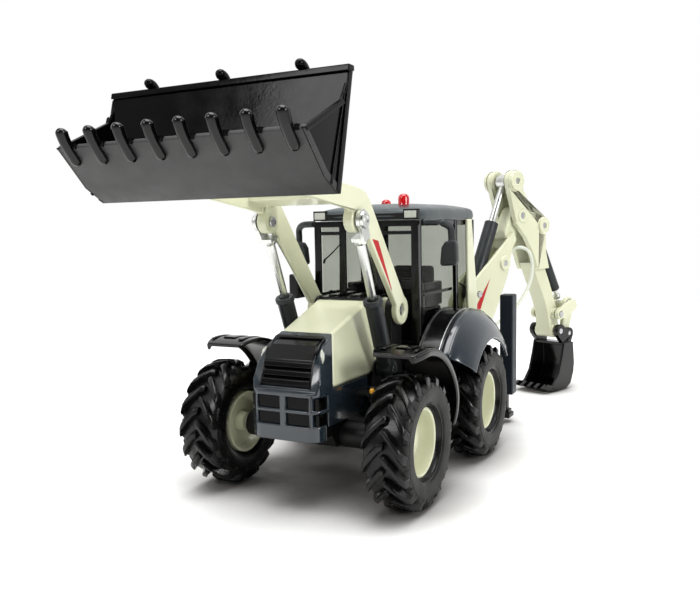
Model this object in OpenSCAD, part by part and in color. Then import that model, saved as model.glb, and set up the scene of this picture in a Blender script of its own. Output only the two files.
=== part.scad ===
// Toy backhoe loader, 1:50. Millimetres, +X to the machine's left, -Y forward, +Z up.
// The origin lies on the ground, at the centre of the whole footprint.

/* [Wheels] */
// Distance between the front and the rear axle
wheelbase = 43.6; // [43:0.1:44]
// Radius of the tyres over their lugs
tyre_r = 14.5; // [14.3:0.1:14.6]
// Distance from the middle to the outer face of a tyre
tyre_out_x = 28.5; // [28.2:0.1:28.6]
// Width of a tyre
tyre_w = 10.6; // [10:0.2:10.8]
// Radius of a rim over its outer flange
rim_r = 7.6; // [7.4:0.1:7.8]
// Diameter of the steel axles
axle_d = 2; // [1.8:0.1:2.2]

/* [Body] */
// Half width of the chassis
chassis_hw = 8; // [7.8:0.1:8.2]
// Half width of the nose at its belt line
nose_hw = 8.8; // [8.4:0.1:8.9]
// Half width of the cab over its corner pillars
cab_hw = 14.6; // [14.4:0.1:14.8]
// Underside height of the cab roof
roof_z = 61.6; // [61:0.2:62]
// Height of the stabilizer tubes
post_top_z = 39; // [37:0.5:40]

/* [Loader] */
// Half width of the loader bucket
bucket_hw = 26.7; // [26:0.1:27]
// Number of teeth on the loader bucket
bucket_teeth = 8; // [6:1:10]
// Inner face of a loader arm, measured from the middle
arm_in_x = 10.9; // [10.8:0.1:11]
// Thickness of a loader arm
arm_t = 1.5; // [1.4:0.1:1.5]
// Diameter of the lift cylinder barrels
lift_d = 4; // [3.8:0.1:4.2]

/* [Backhoe] */
// Angle of the backhoe towards the machine's left
swing_rest = 22; // [20:1:22]
// Half width of the backhoe bucket
hoe_hw = 6.7; // [6.6:0.1:7]
// Number of teeth on the backhoe bucket
hoe_teeth = 5; // [4:1:5]
// Half width of the boom over its two plates
boom_hw = 3.8; // [3.7:0.1:3.9]
// Diameter of the hose beside the boom
hose_d = 1.1; // [1:0.1:1.2]

/* [Hidden] */
$fn = 48;

// Colours
cream = [0.89, 0.89, 0.76];
slate = [0.20, 0.25, 0.30];
grey = [0.33, 0.36, 0.38];
black = [0.05, 0.05, 0.06];
rubber = [0.09, 0.09, 0.09];
steel = [0.80, 0.81, 0.83];
lamp_red = [0.75, 0.03, 0.05];
clear = [0.80, 0.85, 0.87, 0.35];

// Clearances
fit_gap = 0.06;   // radial gap of a pin that turns in a bore
part_gap = 0.1;   // gap between pieces of one body
move_gap = 0.3;   // gap between pieces that move past each other

// Places on the machine, as [y, z] with y counted from half way between the axles
mid_y = -25.4;
front_axle_at = [-wheelbase / 2, tyre_r];
rear_axle_at = [wheelbase / 2, tyre_r];
arm_pivot = [0.2, 39.9];
rod_pin = [-22.2, 61.6];
ram_foot = [-7.9, 27];
bucket_pivot = [-51, 69.6];
king_y = 58;
king_pin_r = 1.6;
post_x = 21.9;
post_hw = 2;

// Places on the backhoe, as [s, z] with s counted outwards from the kingpost
boom_foot = [10, 24];
boom_tip = [35.2, 62.6];
boom_boss = [26.7, 47];
stick_foot = [14.2, 37.5];
dipper_top = [31.1, 74];
ram_head = [46.8, 59.1];
rocker_foot = [55.9, 27.5];
rocker_tip = [63.5, 30.1];
dipper_tip = [56, 21.4];
ear_pin = [61.2, 20.2];

// Route of the hose beside the boom, as [w, s, z]: out of the boom's back, over and down to its foot
hose_route = [[1, 30.2, 49], [1.2, 32, 50.4], [2.6, 33.4, 51.6], [4.4, 34.8, 52], [5.5, 36.4, 51.2],
    [5.7, 38, 49.6], [5.7, 39, 47.2], [5.7, 39.2, 44.4], [5.6, 38.8, 41.4], [5.2, 37.6, 38.4], [4.8, 35.6, 35.4],
    [4.2, 33, 32.6], [3.6, 30, 30.2], [3, 26.8, 28.2], [2.4, 23.6, 26.6], [1.8, 20.6, 25.6], [1.4, 18, 25]];

// ---------- helpers ----------

// Moves a child from half way between the axles to the part's own origin
module machine() translate([0, mid_y, 0]) children();

// Stands a child on the kingpost, turned to where the backhoe rests
module backhoe() machine() translate([0, king_y, 0]) rotate([0, 0, -swing_rest]) children();

// A side outline in [y, z], as a plate from x0 to x1
module plate(x0, x1) translate([x0, 0, 0]) rotate([90, 0, 90]) linear_extrude(x1 - x0) children();

// The same plate on both sides of the middle
module plates(x0, x1) {
    plate(x0, x1) children();
    plate(-x1, -x0) children();
}

// A round bar across the machine at p = [y, z]
module bar(p, r, x0, x1) translate([x0, p[0], p[1]]) rotate([0, 90, 0]) cylinder(r = r, h = x1 - x0);

// The same bar on both sides of the middle
module bars(p, r, x0, x1) {
    bar(p, r, x0, x1);
    bar(p, r, -x1, -x0);
}

// A box given by its two corners
module box(a, b) translate(a) cube(b - a);

module both_boxes(a, b) {
    box(a, b);
    box([-b[0], a[1], a[2]], [-a[0], b[1], b[2]]);
}

// Corners of the two lines that touch both circles
function tangents(p, q, rp, rq) =
    let (d = norm(q - p), a = atan2(q[1] - p[1], q[0] - p[0]), b = acos((rp - rq) / d))
    [p + rp * [cos(a + b), sin(a + b)], q + rq * [cos(a + b), sin(a + b)],
     q + rq * [cos(a - b), sin(a - b)], p + rp * [cos(a - b), sin(a - b)]];

// Outline of a link between two round ends
module link(p, q, rp, rq) {
    translate(p) circle(rp);
    translate(q) circle(rq);
    polygon(tangents(p, q, rp, rq));
}

module dot(p, r) translate(p) circle(r);

// Outline of a rectangle with round corners
module round_rect(a, b, r) {
    translate([a[0] + r, a[1]]) square([b[0] - a[0] - 2 * r, b[1] - a[1]]);
    translate([a[0], a[1] + r]) square([b[0] - a[0], b[1] - a[1] - 2 * r]);
    for (x = [a[0] + r, b[0] - r], y = [a[1] + r, b[1] - r]) translate([x, y]) circle(r);
}

// A cylinder from p towards q, both in [y, z], at x
module strut(p, q, r, from, to, x = 0) {
    dir = (q - p) / norm(q - p);
    translate([x, p[0], p[1]]) rotate([-atan2(dir[0], dir[1]), 0, 0]) translate([0, 0, from])
        cylinder(r = r, h = to - from);
}

// ---------- chassis ----------

tower_in_x = chassis_hw + 0.9;
plinth_hole = [0.9, 5];   // radius and depth of the two display screw holes
plinth_y = [-6, 34];
housing = [3, 17];        // radius and half length of an axle housing
screw_y = [-10, 12, 48];
plate_z = 8.4;
frame_z = [9.8, 22.5];
frame_y = [-31.5, 53];
plate_front_y = -13;

module base_plate() color(black) machine() difference() {
    box([-chassis_hw, plate_front_y, plate_z], [chassis_hw, frame_y[1], frame_z[0]]);
    for (y = screw_y) translate([0, y, plate_z - 1]) cylinder(r = 1.05, h = 4);
    for (y = screw_y) translate([0, y, plate_z - 1]) cylinder(r = 1.85, h = 1.6);
    for (y = plinth_y) translate([0, y, plate_z - 1]) cylinder(r = plinth_hole[0], h = 4);
}

module chassis_frame() color(black) machine() difference() {
    union() {
        // body with a belly that rises towards the nose
        plate(-chassis_hw, chassis_hw) polygon([[frame_y[0], frame_z[1]], [frame_y[1], frame_z[1]],
            [frame_y[1], frame_z[0]], [plate_front_y, frame_z[0]], [-17, 11.9], [-26, 12.4], [-28, 15.4],
            [frame_y[0], 15.4]]);
        // towers of the loader arms, and the feet of the lift cylinders ahead of them
        plates(tower_in_x, arm_in_x - part_gap) link(arm_pivot, [-0.2, 24], 3, 3.3);
        both_boxes([chassis_hw - 1, -13, 16], [11.4, 3.2, 22.6]);
        plates(tower_in_x, 9.5) link(ram_foot, [-8.5, 21], 2, 2.6);
        // round housings of both axles
        bar(front_axle_at, housing[0], -housing[1], housing[1]);
        bar(rear_axle_at, housing[0], -housing[1], housing[1]);
    }
    bar(front_axle_at, axle_d / 2 + fit_gap, -20, 20);
    bar(rear_axle_at, axle_d / 2 + fit_gap, -20, 20);
    bars(arm_pivot, 1.5, 8, 12);
    bars(ram_foot, 0.8, 8, 12);
    for (y = plinth_y) translate([0, y, frame_z[0] - 1])
        cylinder(r = plinth_hole[0], h = plinth_hole[1] + 1);
    for (y = screw_y) translate([0, y, frame_z[0] - 1]) cylinder(r = 1, h = 7);
}

module chassis_screws() color(steel) machine() for (y = screw_y) {
    translate([0, y, plate_z]) cylinder(r = 1.8, h = 0.6);
    translate([0, y, plate_z]) cylinder(r = 1, h = 6);
}

// ---------- nose and hood ----------

nose_front_y = -35.2;
belt_z = 25.8;
nose_low_z = 15.3;
hood_front = [[-24.6, 37.2], [-28.5, belt_z]];   // edge where the hood meets the nose, top and bottom

// Outline of the nose from the front
module nose_front() polygon([[-6.6, 37.2], [6.6, 37.2], [nose_hw, belt_z], [nose_hw, nose_low_z],
    [-nose_hw, nose_low_z], [-nose_hw, belt_z]]);

module nose_grille() color(slate) machine() difference() {
    intersection() {
        union() {
            // upper nose, from its sloping top to the belt line
            plate(-nose_hw, nose_hw) polygon([hood_front[0], [-29.2, 35], [-32.3, 31.6], [-34.2, belt_z],
                hood_front[1]]);
            // lower bumper and the side skirts behind it
            plate(-nose_hw, nose_hw) polygon([[nose_front_y, belt_z], [-12, belt_z], [-12, 22.6],
                [-31.6, 22.6], [-31.6, nose_low_z], [nose_front_y, nose_low_z]]);
            plates(chassis_hw + part_gap, nose_hw) polygon([[-32, 22.7], [-14, 22.7], [-14, 18], [-32, 18]]);
        }
        translate([0, nose_front_y, 0]) rotate([90, 0, 0]) translate([0, 0, -40]) linear_extrude(50)
            nose_front();
        translate([0, 0, 10]) linear_extrude(40) round_rect([-nose_hw, nose_front_y], [nose_hw, 12], 3.4);
    }
    // windows for the louvres and the sloping panel
    plate(-6, 6) polygon([[-36, 26.7], [-33.1, 26.7], [-31.1, 32.4], [-36, 34]]);
    plate(-5.3, 5.3) polygon([[-26.6, 37.6], [-26.3, 35.4], [-29.4, 34], [-32.2, 36.5]]);
    // two rows of bumper slots, left and right of the centre bar
    for (z = [17.2, 21.2]) both_boxes([0.7, nose_front_y - 1, z], [6.4, nose_front_y + 0.9, z + 2.8]);
    for (z = [17.2, 21.2]) both_boxes([7.1, nose_front_y - 1, z], [nose_hw + 1, nose_front_y + 4.5, z + 2.8]);
}

module grille_louvres() color(black) machine() {
    plate(-5.95, 5.95) polygon([[-33.2, 26.75], [-33.6, 26.75], [-31.65, 32.3], [-31.25, 32.3]]);
    for (i = [0:2]) plate(-5.95, 5.95)
        polygon([[-33.1 + 0.6 * i, 27.4 + 1.8 * i], [-34.1 + 0.6 * i, 27.1 + 1.8 * i],
                 [-33.9 + 0.6 * i, 28.2 + 1.8 * i], [-32.9 + 0.6 * i, 28.6 + 1.8 * i]]);
    plate(-5.25, 5.25) polygon([[-26.7, 35.65], [-26.8, 36.35], [-29.8, 34.95], [-29.5, 34.1]]);
}

// Block of the hood, smaller by inset on all sides and running back to y_rear
module hood_block(inset, y_rear) {
    top_front = [hood_front[0][0] + part_gap, hood_front[0][1] - inset];
    polyhedron(points = [
        [-8.6 + inset, hood_front[1][0] + part_gap, belt_z + 0.1 - inset],
        [8.6 - inset, hood_front[1][0] + part_gap, belt_z + 0.1 - inset],
        [8.6 - inset, y_rear, belt_z + 0.1 - inset], [-8.6 + inset, y_rear, belt_z + 0.1 - inset],
        [-6.5 + inset, top_front[0], top_front[1]], [6.5 - inset, top_front[0], top_front[1]],
        [6.9 - inset, -8, 42.6 - inset], [-6.9 + inset, -8, 42.6 - inset],
        [6.9 - inset, y_rear, 42.6 - inset], [-6.9 + inset, y_rear, 42.6 - inset]],
        faces = [[0, 1, 2, 3], [0, 4, 5, 1], [4, 7, 6, 5], [7, 9, 8, 6], [3, 2, 8, 9],
            [1, 5, 6, 8, 2], [0, 3, 9, 7, 4]]);
}

module hood() color(cream) machine() difference() {
    hood_block(0, 4.3);
    translate([0, 1, -0.01]) hood_block(1, 5);
}

module cowl_panel() color(black) machine() {
    box([-6.6, -7.4, 42.7], [6.6, 4.2, 43.3]);
    for (x = [-4.2, 1.6]) box([x, -6.6, 43.3], [x + 2.6, 3, 43.9]);
}

// ---------- cab ----------

cab_y = [4.9, 47];
tub_z = [22.6, 30];
tub_hw = 13.9;
glass_hw = 13.6;

module cab_tub() color(black) machine() {
    difference() {
        box([-tub_hw, 4.5, tub_z[0]], [tub_hw, 48, tub_z[1]]);
        box([-12.6, 5.9, 25], [12.6, 46, 31]);
    }
    // steps between the wheels
    both_boxes([tub_hw, 1.5, 11], [20.4, 4.6, 24]);
    both_boxes([chassis_hw + part_gap, 3.3, 11], [tub_hw + 0.1, 4.6, 24]);
}

// A slanting pillar between two points, seen from the side as [y, z]
module pillar(p, q, w, x0, x1) plates(x0, x1)
    polygon([[p[0] - w / 2, p[1]], [p[0] + w / 2, p[1]], [q[0] + w / 2, q[1]], [q[0] - w / 2, q[1]]]);

module cab_frame() color(black) machine() {
    for (x = [-cab_hw, cab_hw - 1]) translate([x, 0, 0]) {
        // sill and top rail
        box([0, 5.9, tub_z[1] + 0.1], [0.9, 47, tub_z[1] + 1.6]);
        box([0, 5.9, roof_z - 1.6], [0.9, 47, roof_z - 0.1]);
    }
    pillar([5.9, tub_z[1] + 0.1], [5.9, roof_z - 0.1], 2, glass_hw + 0.1, cab_hw);
    pillar([32.6, tub_z[1] + 0.1], [31.6, roof_z - 0.1], 1.6, glass_hw + 0.1, cab_hw);
    pillar([20, tub_z[1] + 0.1], [20, 37], 1.2, glass_hw + 0.1, cab_hw);
    // windscreen bars and rails
    box([-cab_hw, cab_y[0], tub_z[1] + 0.1], [cab_hw, 5.6, tub_z[1] + 1.6]);
    box([-cab_hw, cab_y[0], roof_z - 1.6], [cab_hw, 5.6, roof_z - 0.1]);
    for (side = [-1, 1]) mirror([side > 0 ? 0 : 1, 0, 0]) translate([0, 5.6, 0]) rotate([90, 0, 0])
        linear_extrude(5.6 - cab_y[0]) polygon([[12.7, tub_z[1] + 0.1], [cab_hw, tub_z[1] + 0.1],
            [cab_hw, 32.4], [cab_hw + 0.5, 33], [cab_hw - 0.3, roof_z - 0.1], [12.7, roof_z - 0.1]]);
    both_boxes([5.4, cab_y[0], tub_z[1] + 0.1], [7.3, 5.6, roof_z - 0.1]);
    // rear corners and rails
    both_boxes([12.7, 46.3, tub_z[1] + 0.1], [cab_hw, 47, roof_z - 0.1]);
    box([-cab_hw, 46.3, tub_z[1] + 0.1], [cab_hw, 47, tub_z[1] + 1.6]);
    box([-cab_hw, 46.3, roof_z - 1.6], [cab_hw, 47, roof_z - 0.1]);
}

module cab_glass() color(clear) machine() difference() {
    box([-glass_hw, 5.7, tub_z[1] + 0.1], [glass_hw, 46.2, roof_z - 0.1]);
    box([-glass_hw + 0.6, 6.3, tub_z[1]], [glass_hw - 0.6, 45.6, roof_z]);
}

beacon_at = [[7.6, 12.5], [-7.8, 35]];
beacon_r = 1.45;
roof_rim = 2.8;

module cab_roof() color(grey) machine() difference() {
    union() {
        translate([0, 0, roof_z]) linear_extrude(roof_rim) round_rect([-15, 4.6], [15, 50], 2.6);
        translate([0, 32.6, roof_z + roof_rim]) linear_extrude(1.5, scale = [0.84, 0.84])
            round_rect([-14.4, -16.6], [14.4, 16.6], 3);
    }
    // seats of the two work lights in the front edge, and of the beacons
    both_boxes([11, 4, roof_z + 0.3], [14.4, 5.4, roof_z + 2.4]);
    for (p = beacon_at) translate([p[0], p[1], roof_z + roof_rim]) cylinder(r = beacon_r + 0.4, h = 3);
}

// Cream pillars that carry the rear of the roof
module rear_pillars() color(cream) machine() plates(cab_hw + part_gap, cab_hw + 1)
    polygon([[38.8, roof_z], [42.4, roof_z], [47.2, 38], [46.6, 31.6], [40.6, 31.6], [39.4, 38]]);

module work_lights() color([0.75, 0.76, 0.74]) machine()
    both_boxes([11.1, 4.6, roof_z + 0.4], [14.3, 5.3, roof_z + 2.3]);

module beacon(p, h) translate([p[0], p[1], roof_z + roof_rim]) {
    cylinder(r = beacon_r + 0.25, h = 0.6);
    cylinder(r = beacon_r, h = h - beacon_r);
    translate([0, 0, h - beacon_r]) intersection() {
        sphere(r = beacon_r);
        cylinder(r = 2, h = 2);
    }
}

module beacons() color(lamp_red) machine() {
    beacon(beacon_at[0], 3.9);
    beacon(beacon_at[1], 3.3);
}

module side_mirror() {
    // arm out of the roof's front corner, back and down to the mirror's case
    translate([0, 0, roof_z - 1.6]) linear_extrude(1.6) polygon([[14.7, 5.6], [16.4, 5.6], [22.2, 7.8], [22.6, 8.4],
        [22.6, 9.9], [20.8, 9.9], [20.8, 9.3], [15.8, 7.4], [14.7, 7.4]]);
    box([20.8, 8.3, 56.4], [22.6, 9.9, roof_z - 1]);
    translate([0, 10.2, 0]) rotate([90, 0, 0]) linear_extrude(2.2) round_rect([19.8, 50.1], [23.3, 56.4], 0.8);
}

module mirrors() color(grey) machine() {
    side_mirror();
    mirror([1, 0, 0]) side_mirror();
}

module wiper() color(black) machine() translate([-11.6, 4.6, 51.4]) rotate([0, 90 - 42, 0])
    translate([0, 0, 0]) box([-0.2, -0.1, 0], [0.2, 0.2, 7]);

module dashboard() color(black) machine() {
    box([-12.4, 6.4, 25.1], [12.4, 9.6, 41]);
    both_boxes([8.4, 10, 25.1], [12.4, 26, 38.6]);
    both_boxes([8.6, 17, 38.6], [11.6, 29, 45]);
    box([-2, 9.6, 34], [2, 14.6, 40.4]);
}

module driver_seat() color(grey) machine() {
    translate([0, 0, 32.2]) linear_extrude(3.2) round_rect([-6.2, 24.5], [6.2, 37], 1.6);
    translate([0, 37.6, 0]) rotate([90, 0, 0]) linear_extrude(2.6) round_rect([-6.4, 33], [6.4, 48.8], 2);
    box([-3, 26, 25.1], [3, 34, 32.2]);
}

module steering_wheel() color(black) machine() translate([0, 15.6, 42.6]) rotate([-30, 0, 0]) {
    rotate_extrude($fn = 36) translate([3.4, 0]) circle(0.45, $fn = 14);
    cylinder(r = 1, h = 0.8, center = true);
    for (a = [90, 210, 330]) rotate([0, 0, a]) box([0.8, -0.3, -0.25], [3.4, 0.3, 0.25]);
    translate([0, 0, -3]) cylinder(r = 0.5, h = 3);
}

// ---------- fenders ----------

// Outline of a ring sector in [y, z] about c, from angle a0 to a1
module sector(c, r_in, r_out, a0, a1) translate(c) difference() {
    intersection() {
        circle(r_out, $fn = 96);
        polygon(concat([[0, 0]], [for (i = [0:8]) let (a = a0 + (a1 - a0) * i / 8) 3 * r_out * [cos(a), sin(a)]]));
    }
    circle(r_in, $fn = 96);
}

fender_in_x = 15.6;

module front_fender() {
    plate(fender_in_x, 28) sector(front_axle_at + [0.5, 0], 19.3, 20.3, -3, 105);
    // stay that holds the fender on the step
    box([fender_in_x, -1.8, 13.8], [20.4, 1.5, 16]);
}

module front_fender_left() color(black) machine() front_fender();
module front_fender_right() color(black) machine() mirror([1, 0, 0]) front_fender();

// Section of a rear fender: [distance from the middle, radius about the axle]
rear_fender_skin = [[14.7, 24], [20.5, 24], [24.2, 22.6], [26.9, 20], [28.2, 16.2]];
rear_fender_inner = [[27.3, 16], [26.1, 19.3], [23.7, 21.8], [20.4, 23], [14.7, 23]];

module rear_fender() translate([0, rear_axle_at[0], rear_axle_at[1]]) rotate([90, 0, 90])
    rotate([0, 0, 36]) intersection() {
        rotate_extrude(angle = 108, $fn = 96) polygon([for (p = concat(rear_fender_skin, rear_fender_inner))
            [p[1], p[0]]]);
        cylinder(r = 40, h = 60);
    }

module rear_fender_left() color(slate) machine() rear_fender();
module rear_fender_right() color(slate) machine() mirror([1, 0, 0]) rear_fender();

// ---------- wheels ----------

// A wheel piece turned about its axle, with its section as [radius, distance from the middle]
module wheel_piece(at, side) translate([0, at[0], at[1]]) rotate([0, 90 * side, 0]) rotate_extrude($fn = 72)
    children();

module axle(at) color(steel) machine() bar(at, axle_d / 2, -24.5, 24.5);

module rim(at, side) color(cream) machine() wheel_piece(at, side) difference() {
    polygon([[axle_d / 2, 18.4], [7.2, 18.4], [7.2, 25.2], [rim_r, 25.8], [rim_r, 26.5], [6.7, 26.5],
        [6.3, 22.4], [2.6, 21.6], [2.2, 25.2], [0, 25.2], [0, 24.5], [axle_d / 2, 24.5]]);
}

module tyre(at, side) color(rubber) machine() wheel_piece(at, side) {
    in_x = tyre_out_x - tyre_w;
    polygon([[7.25, in_x + 1.2], [10.5, in_x], [12.9, in_x + 0.5], [tyre_r, in_x + 1.8], [tyre_r, tyre_out_x - 1.8],
        [12.9, tyre_out_x - 0.5], [10.5, tyre_out_x], [rim_r + 0.1, tyre_out_x - 1], [rim_r + 0.05, 25.85],
        [7.25, 25.1]]);
}

module front_axle() axle(front_axle_at);
module rim_front_left() rim(front_axle_at, 1);
module rim_front_right() rim(front_axle_at, -1);
module tyre_front_left() tyre(front_axle_at, 1);
module tyre_front_right() tyre(front_axle_at, -1);
module rear_axle() axle(rear_axle_at);
module rim_rear_left() rim(rear_axle_at, 1);
module rim_rear_right() rim(rear_axle_at, -1);
module tyre_rear_left() tyre(rear_axle_at, 1);
module tyre_rear_right() tyre(rear_axle_at, -1);

// ---------- loader ----------

arm_out_x = arm_in_x + arm_t;
boss_x = [9.8, 12.2];     // faces of the boss above a lift rod

module arm_outline() {
    dot(arm_pivot, 3.5);
    dot(bucket_pivot, 2.3);
    polygon([[1.9, 42.6], [-16.7, 66.2], [-18.4, 67.7], [-21, 68.4], [-51.2, 71.8], [-50.7, 67.4], [-24, 63.6],
        [-21.6, 62.6], [-2.6, 40.7]]);
}

module loader_arms() color(cream) machine() difference() {
    union() {
        plates(arm_in_x, arm_out_x) arm_outline();
        // cross-member, front tie and the two bosses above the lift rods
        plate(-arm_in_x - 0.4, arm_in_x + 0.4) polygon([[-30, 66.2], [-22.4, 65], [-21, 67.4], [-30, 68.9]]);
        plate(-arm_in_x - 0.4, arm_in_x + 0.4) dot([-44, 69], 1.2);
        plates(boss_x[0], boss_x[1]) {
            dot(rod_pin, 2.7);
            polygon([rod_pin + [-2.4, 0.6], rod_pin + [2.3, 1], [-18.8, 65.4], [-23.6, 66]]);
        }
    }
    bars(arm_pivot, 1.5 + fit_gap, 8, 16);
    bars(rod_pin, 0.8, 8, 16);
    bars(bucket_pivot, 1 + fit_gap, 8, 17);
}

// Screws in the bosses above the lift rods
module arm_screws() color(steel) machine() {
    bars(rod_pin, 0.8, boss_x[0], boss_x[1]);
    bars(rod_pin, 1.2, boss_x[0] - 0.5, boss_x[0]);
}

// Pins of the loader arms, the lift cylinders and the kingpost
module pivot_pins() color(steel) machine() {
    bars(arm_pivot, 1.5, tower_in_x, arm_out_x - 0.5);
    bars(ram_foot, 0.8, tower_in_x, 13.4);
    translate([0, king_y, 15]) cylinder(r = king_pin_r, h = 18.6);
}

lift_x = 11.7;
lift_ring = 18.2;       // distance from the foot pin to the top ring of the barrel
lift_reach = norm(rod_pin - ram_foot);

module lift_barrel(side) color(grey) machine() difference() {
    union() {
        strut(ram_foot, rod_pin, lift_d / 2, 1, lift_ring, side * lift_x);
        strut(ram_foot, rod_pin, lift_d / 2 + 0.3, lift_ring - 0.9, lift_ring, side * lift_x);
        bar(ram_foot, 2, side * lift_x - 1.9, side * lift_x + 1.9);
    }
    bar(ram_foot, 0.8 + fit_gap, side * lift_x - 3, side * lift_x + 3);
    strut(ram_foot, rod_pin, 1 + fit_gap, 2.6, lift_ring + 1, side * lift_x);
}

// Rod with its angled end plate: a foot under the boss, and a cheek with a screw head outside it
module lift_rod(side) color(steel) machine() mirror([side > 0 ? 0 : 1, 0, 0]) {
    strut(ram_foot, rod_pin, 1, lift_reach - 21.9, lift_reach - 4.5, lift_x);
    strut(ram_foot, rod_pin, 1.4, lift_reach - 5.6, lift_reach - 4.5, lift_x);
    dir = (rod_pin - ram_foot) / lift_reach;
    translate([0, rod_pin[0], rod_pin[1]]) rotate([-atan2(dir[0], dir[1]), 0, 0]) {
        box([lift_x - 1.4, -1.5, -4.6], [13.5, 1.5, -3.8]);
        box([12.7, -1.5, -4.6], [13.5, 1.5, 0]);
    }
    bar(rod_pin, 2.3, 12.7, 13.5);
    bar(rod_pin, 1.9, 13.5, 14.1);
}

module lift_barrel_left() lift_barrel(1);
module lift_barrel_right() lift_barrel(-1);
module lift_rod_left() lift_rod(1);
module lift_rod_right() lift_rod(-1);

// Side outline of the loader bucket, and the thickness of its shell
bucket_side = [[-67.7, 75.5], [-61.2, 68.4], [-56.6, 65.6], [-51.2, 87.3], [-55, 81.35]];
bucket_wall = 1;

module loader_bucket() color(black) machine() difference() {
    union() {
        plate(-bucket_hw, -bucket_hw + bucket_wall) polygon(bucket_side);
        plate(bucket_hw - bucket_wall, bucket_hw) polygon(bucket_side);
        plate(-bucket_hw, bucket_hw) {
            polygon([[-67.7, 75.5], [-61.2, 68.4], [-56.6, 65.6], [-56.3, 66.8], [-60.6, 69.4], [-67.2, 76.2]]);
            polygon([[-56.6, 65.6], [-57.3, 66.6], [-52.4, 87.3], [-51.2, 87.3]]);
        }
        // teeth and their ribs along the underside
        for (i = [0:bucket_teeth - 1]) {
            x = (bucket_hw - 3.2) * (2 * i / (bucket_teeth - 1) - 1);
            plate(x - 0.9, x + 0.9) polygon([[-64.2, 71.2], [-65.2, 71.1], [-66.2, 71.9], [-69.9, 77.2], [-70.2, 78.3],
                [-69.7, 79], [-68.8, 78.6], [-66.8, 75.8], [-64.4, 72.8]]);
        }
        // hooks along the top edge
        for (x = [-17, 0, 17]) plate(x - 0.7, x + 0.7)
            polygon([[-51.4, 84], [-49.4, 85.5], [-50.4, 88.4], [-53.2, 89.4], [-53.4, 88.3], [-52, 87]]);
        // ears that hold the arms
        for (x = [9, 12.7]) plates(x, x + 1.6) link(bucket_pivot, [-54.9, 70.6], 2.4, 3);
    }
    bars(bucket_pivot, 1, 8, 18);
}

module bucket_pins() color(steel) machine() {
    bars(bucket_pivot, 1, 9, 14.3);
    bars(bucket_pivot, 1.5, 14.3, 14.8);
}

// ---------- rear frame and stabilizers ----------

module rear_frame() color(slate) machine() difference() {
    union() {
        // beam, kingpost cheeks and stabilizer tubes
        both_boxes([3.3, 53.1, 15], [post_x - post_hw + 0.2, 57.5, 18]);
        box([-3.7, 53.1, 15], [3.7, 53.8, 33]);
        for (z = [15, 30]) translate([0, king_y, z]) linear_extrude(3) union() {
            circle(3.6);
            translate([-3.6, -4.9]) square([7.2, 4.9]);
        }
        both_boxes([post_x - post_hw, 54.8, 8.8], [post_x + post_hw, 59.3, post_top_z]);
    }
    for (x = [-post_x, post_x]) box([x - leg_hw - move_gap, 55.5, 8], [x + leg_hw + move_gap, 58.6, post_top_z - 2]);
    translate([0, king_y, 14]) cylinder(r = king_pin_r, h = 22);
}

leg_hw = 1.1;

module stabilizer() color(grey) {
    box([post_x - leg_hw, 55.8, 4], [post_x + leg_hw, 58.3, 31]);
    box([post_x - 2.8, 54.6, 1.5], [post_x + leg_hw, 59.5, 4]);
}

module stabilizer_leg_left() machine() stabilizer();
module stabilizer_leg_right() machine() mirror([1, 0, 0]) stabilizer();

// ---------- backhoe ----------

cheek_x = [boom_hw + move_gap, boom_hw + 1.7];   // faces of the swing bracket's cheeks

module swing_bracket() color(slate) backhoe() difference() {
    union() {
        translate([0, 0, 18.3]) cylinder(r = 3.4, h = 11.4);
        plates(cheek_x[0], cheek_x[1]) link(boom_foot, [4.9, 24], 3.4, 3.1);
        plate(-cheek_x[1] + 0.5, cheek_x[1] - 0.5) polygon([[2, 21.4], [4.9, 21.4], [4.9, 26.6], [2, 26.6]]);
    }
    translate([0, 0, 10]) cylinder(r = king_pin_r + fit_gap, h = 30);
    bar(boom_foot, 1.2, -8, 8);
}

// The pin of the boom foot
module boom_pins() color(steel) backhoe() {
    bar(boom_foot, 1.2, -cheek_x[1], cheek_x[1]);
    bars(boom_foot, 1.8, cheek_x[1], cheek_x[1] + 0.5);
}

module boom_outline() {
    polygon([[32, 57.2], [23.6, 50.9], [11.2, 41.4], [7.4, 35.4], [6, 25.9], [13.6, 21.6], [17, 23.6],
        [21.7, 29.9], [25.1, 36.2], [28.9, 43.5], [29.6, 47], [31, 51.2], [33.3, 54.6]]);
    dot(boom_foot, 4.2);
    dot(boom_boss, 2.9);
}

boom_wall = 1.2;

module boom() color(cream) backhoe() difference() {
    union() {
        plates(boom_hw - boom_wall, boom_hw) boom_outline();
        // web along the back, and the tongue that enters the dipper
        plate(-boom_hw, boom_hw) polygon([[24.2, 36.7], [28, 43.9], [28.6, 47], [30, 51.6], [32.3, 55], [33.3, 54.6],
            [31, 51.2], [29.6, 47], [28.9, 43.5], [25.1, 36.2], [21.7, 29.9], [17, 23.6], [16, 24.4], [20.8, 30.4]]);
        plate(-boom_hw, boom_hw) polygon([[29.4, 51.6], [30, 55.7], [32, 57.2], [33.3, 54.6], [31, 51.2]]);
        plate(-2.4, 2.4) link(boom_tip, [31.8, 56.6], 3, 2.9);
        plate(-2.6, 2.6) dot(boom_foot, 4.2);
        bars(boom_boss, 2.4, 2.6, boom_hw + 0.7);
    }
    bar(boom_foot, 1.2 + fit_gap, -8, 8);
    bar(boom_tip, 1.1 + fit_gap, -8, 8);
    bar(stick_foot, 1, -8, 8);
    bar(boom_boss, 0.9, -8, 8);
}

// Cross pins of the boom, at the foot of the dipper's cylinder and in the two side bosses
module boom_screws() color(steel) backhoe() {
    bar(stick_foot, 1, -boom_hw - 0.3, boom_hw + 0.3);
    bar(boom_boss, 0.9, -boom_hw - 0.7, boom_hw + 0.7);
}

stick_ring = norm([24.8, 60.4] - stick_foot);
stick_reach = norm(dipper_top - stick_foot);

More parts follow.
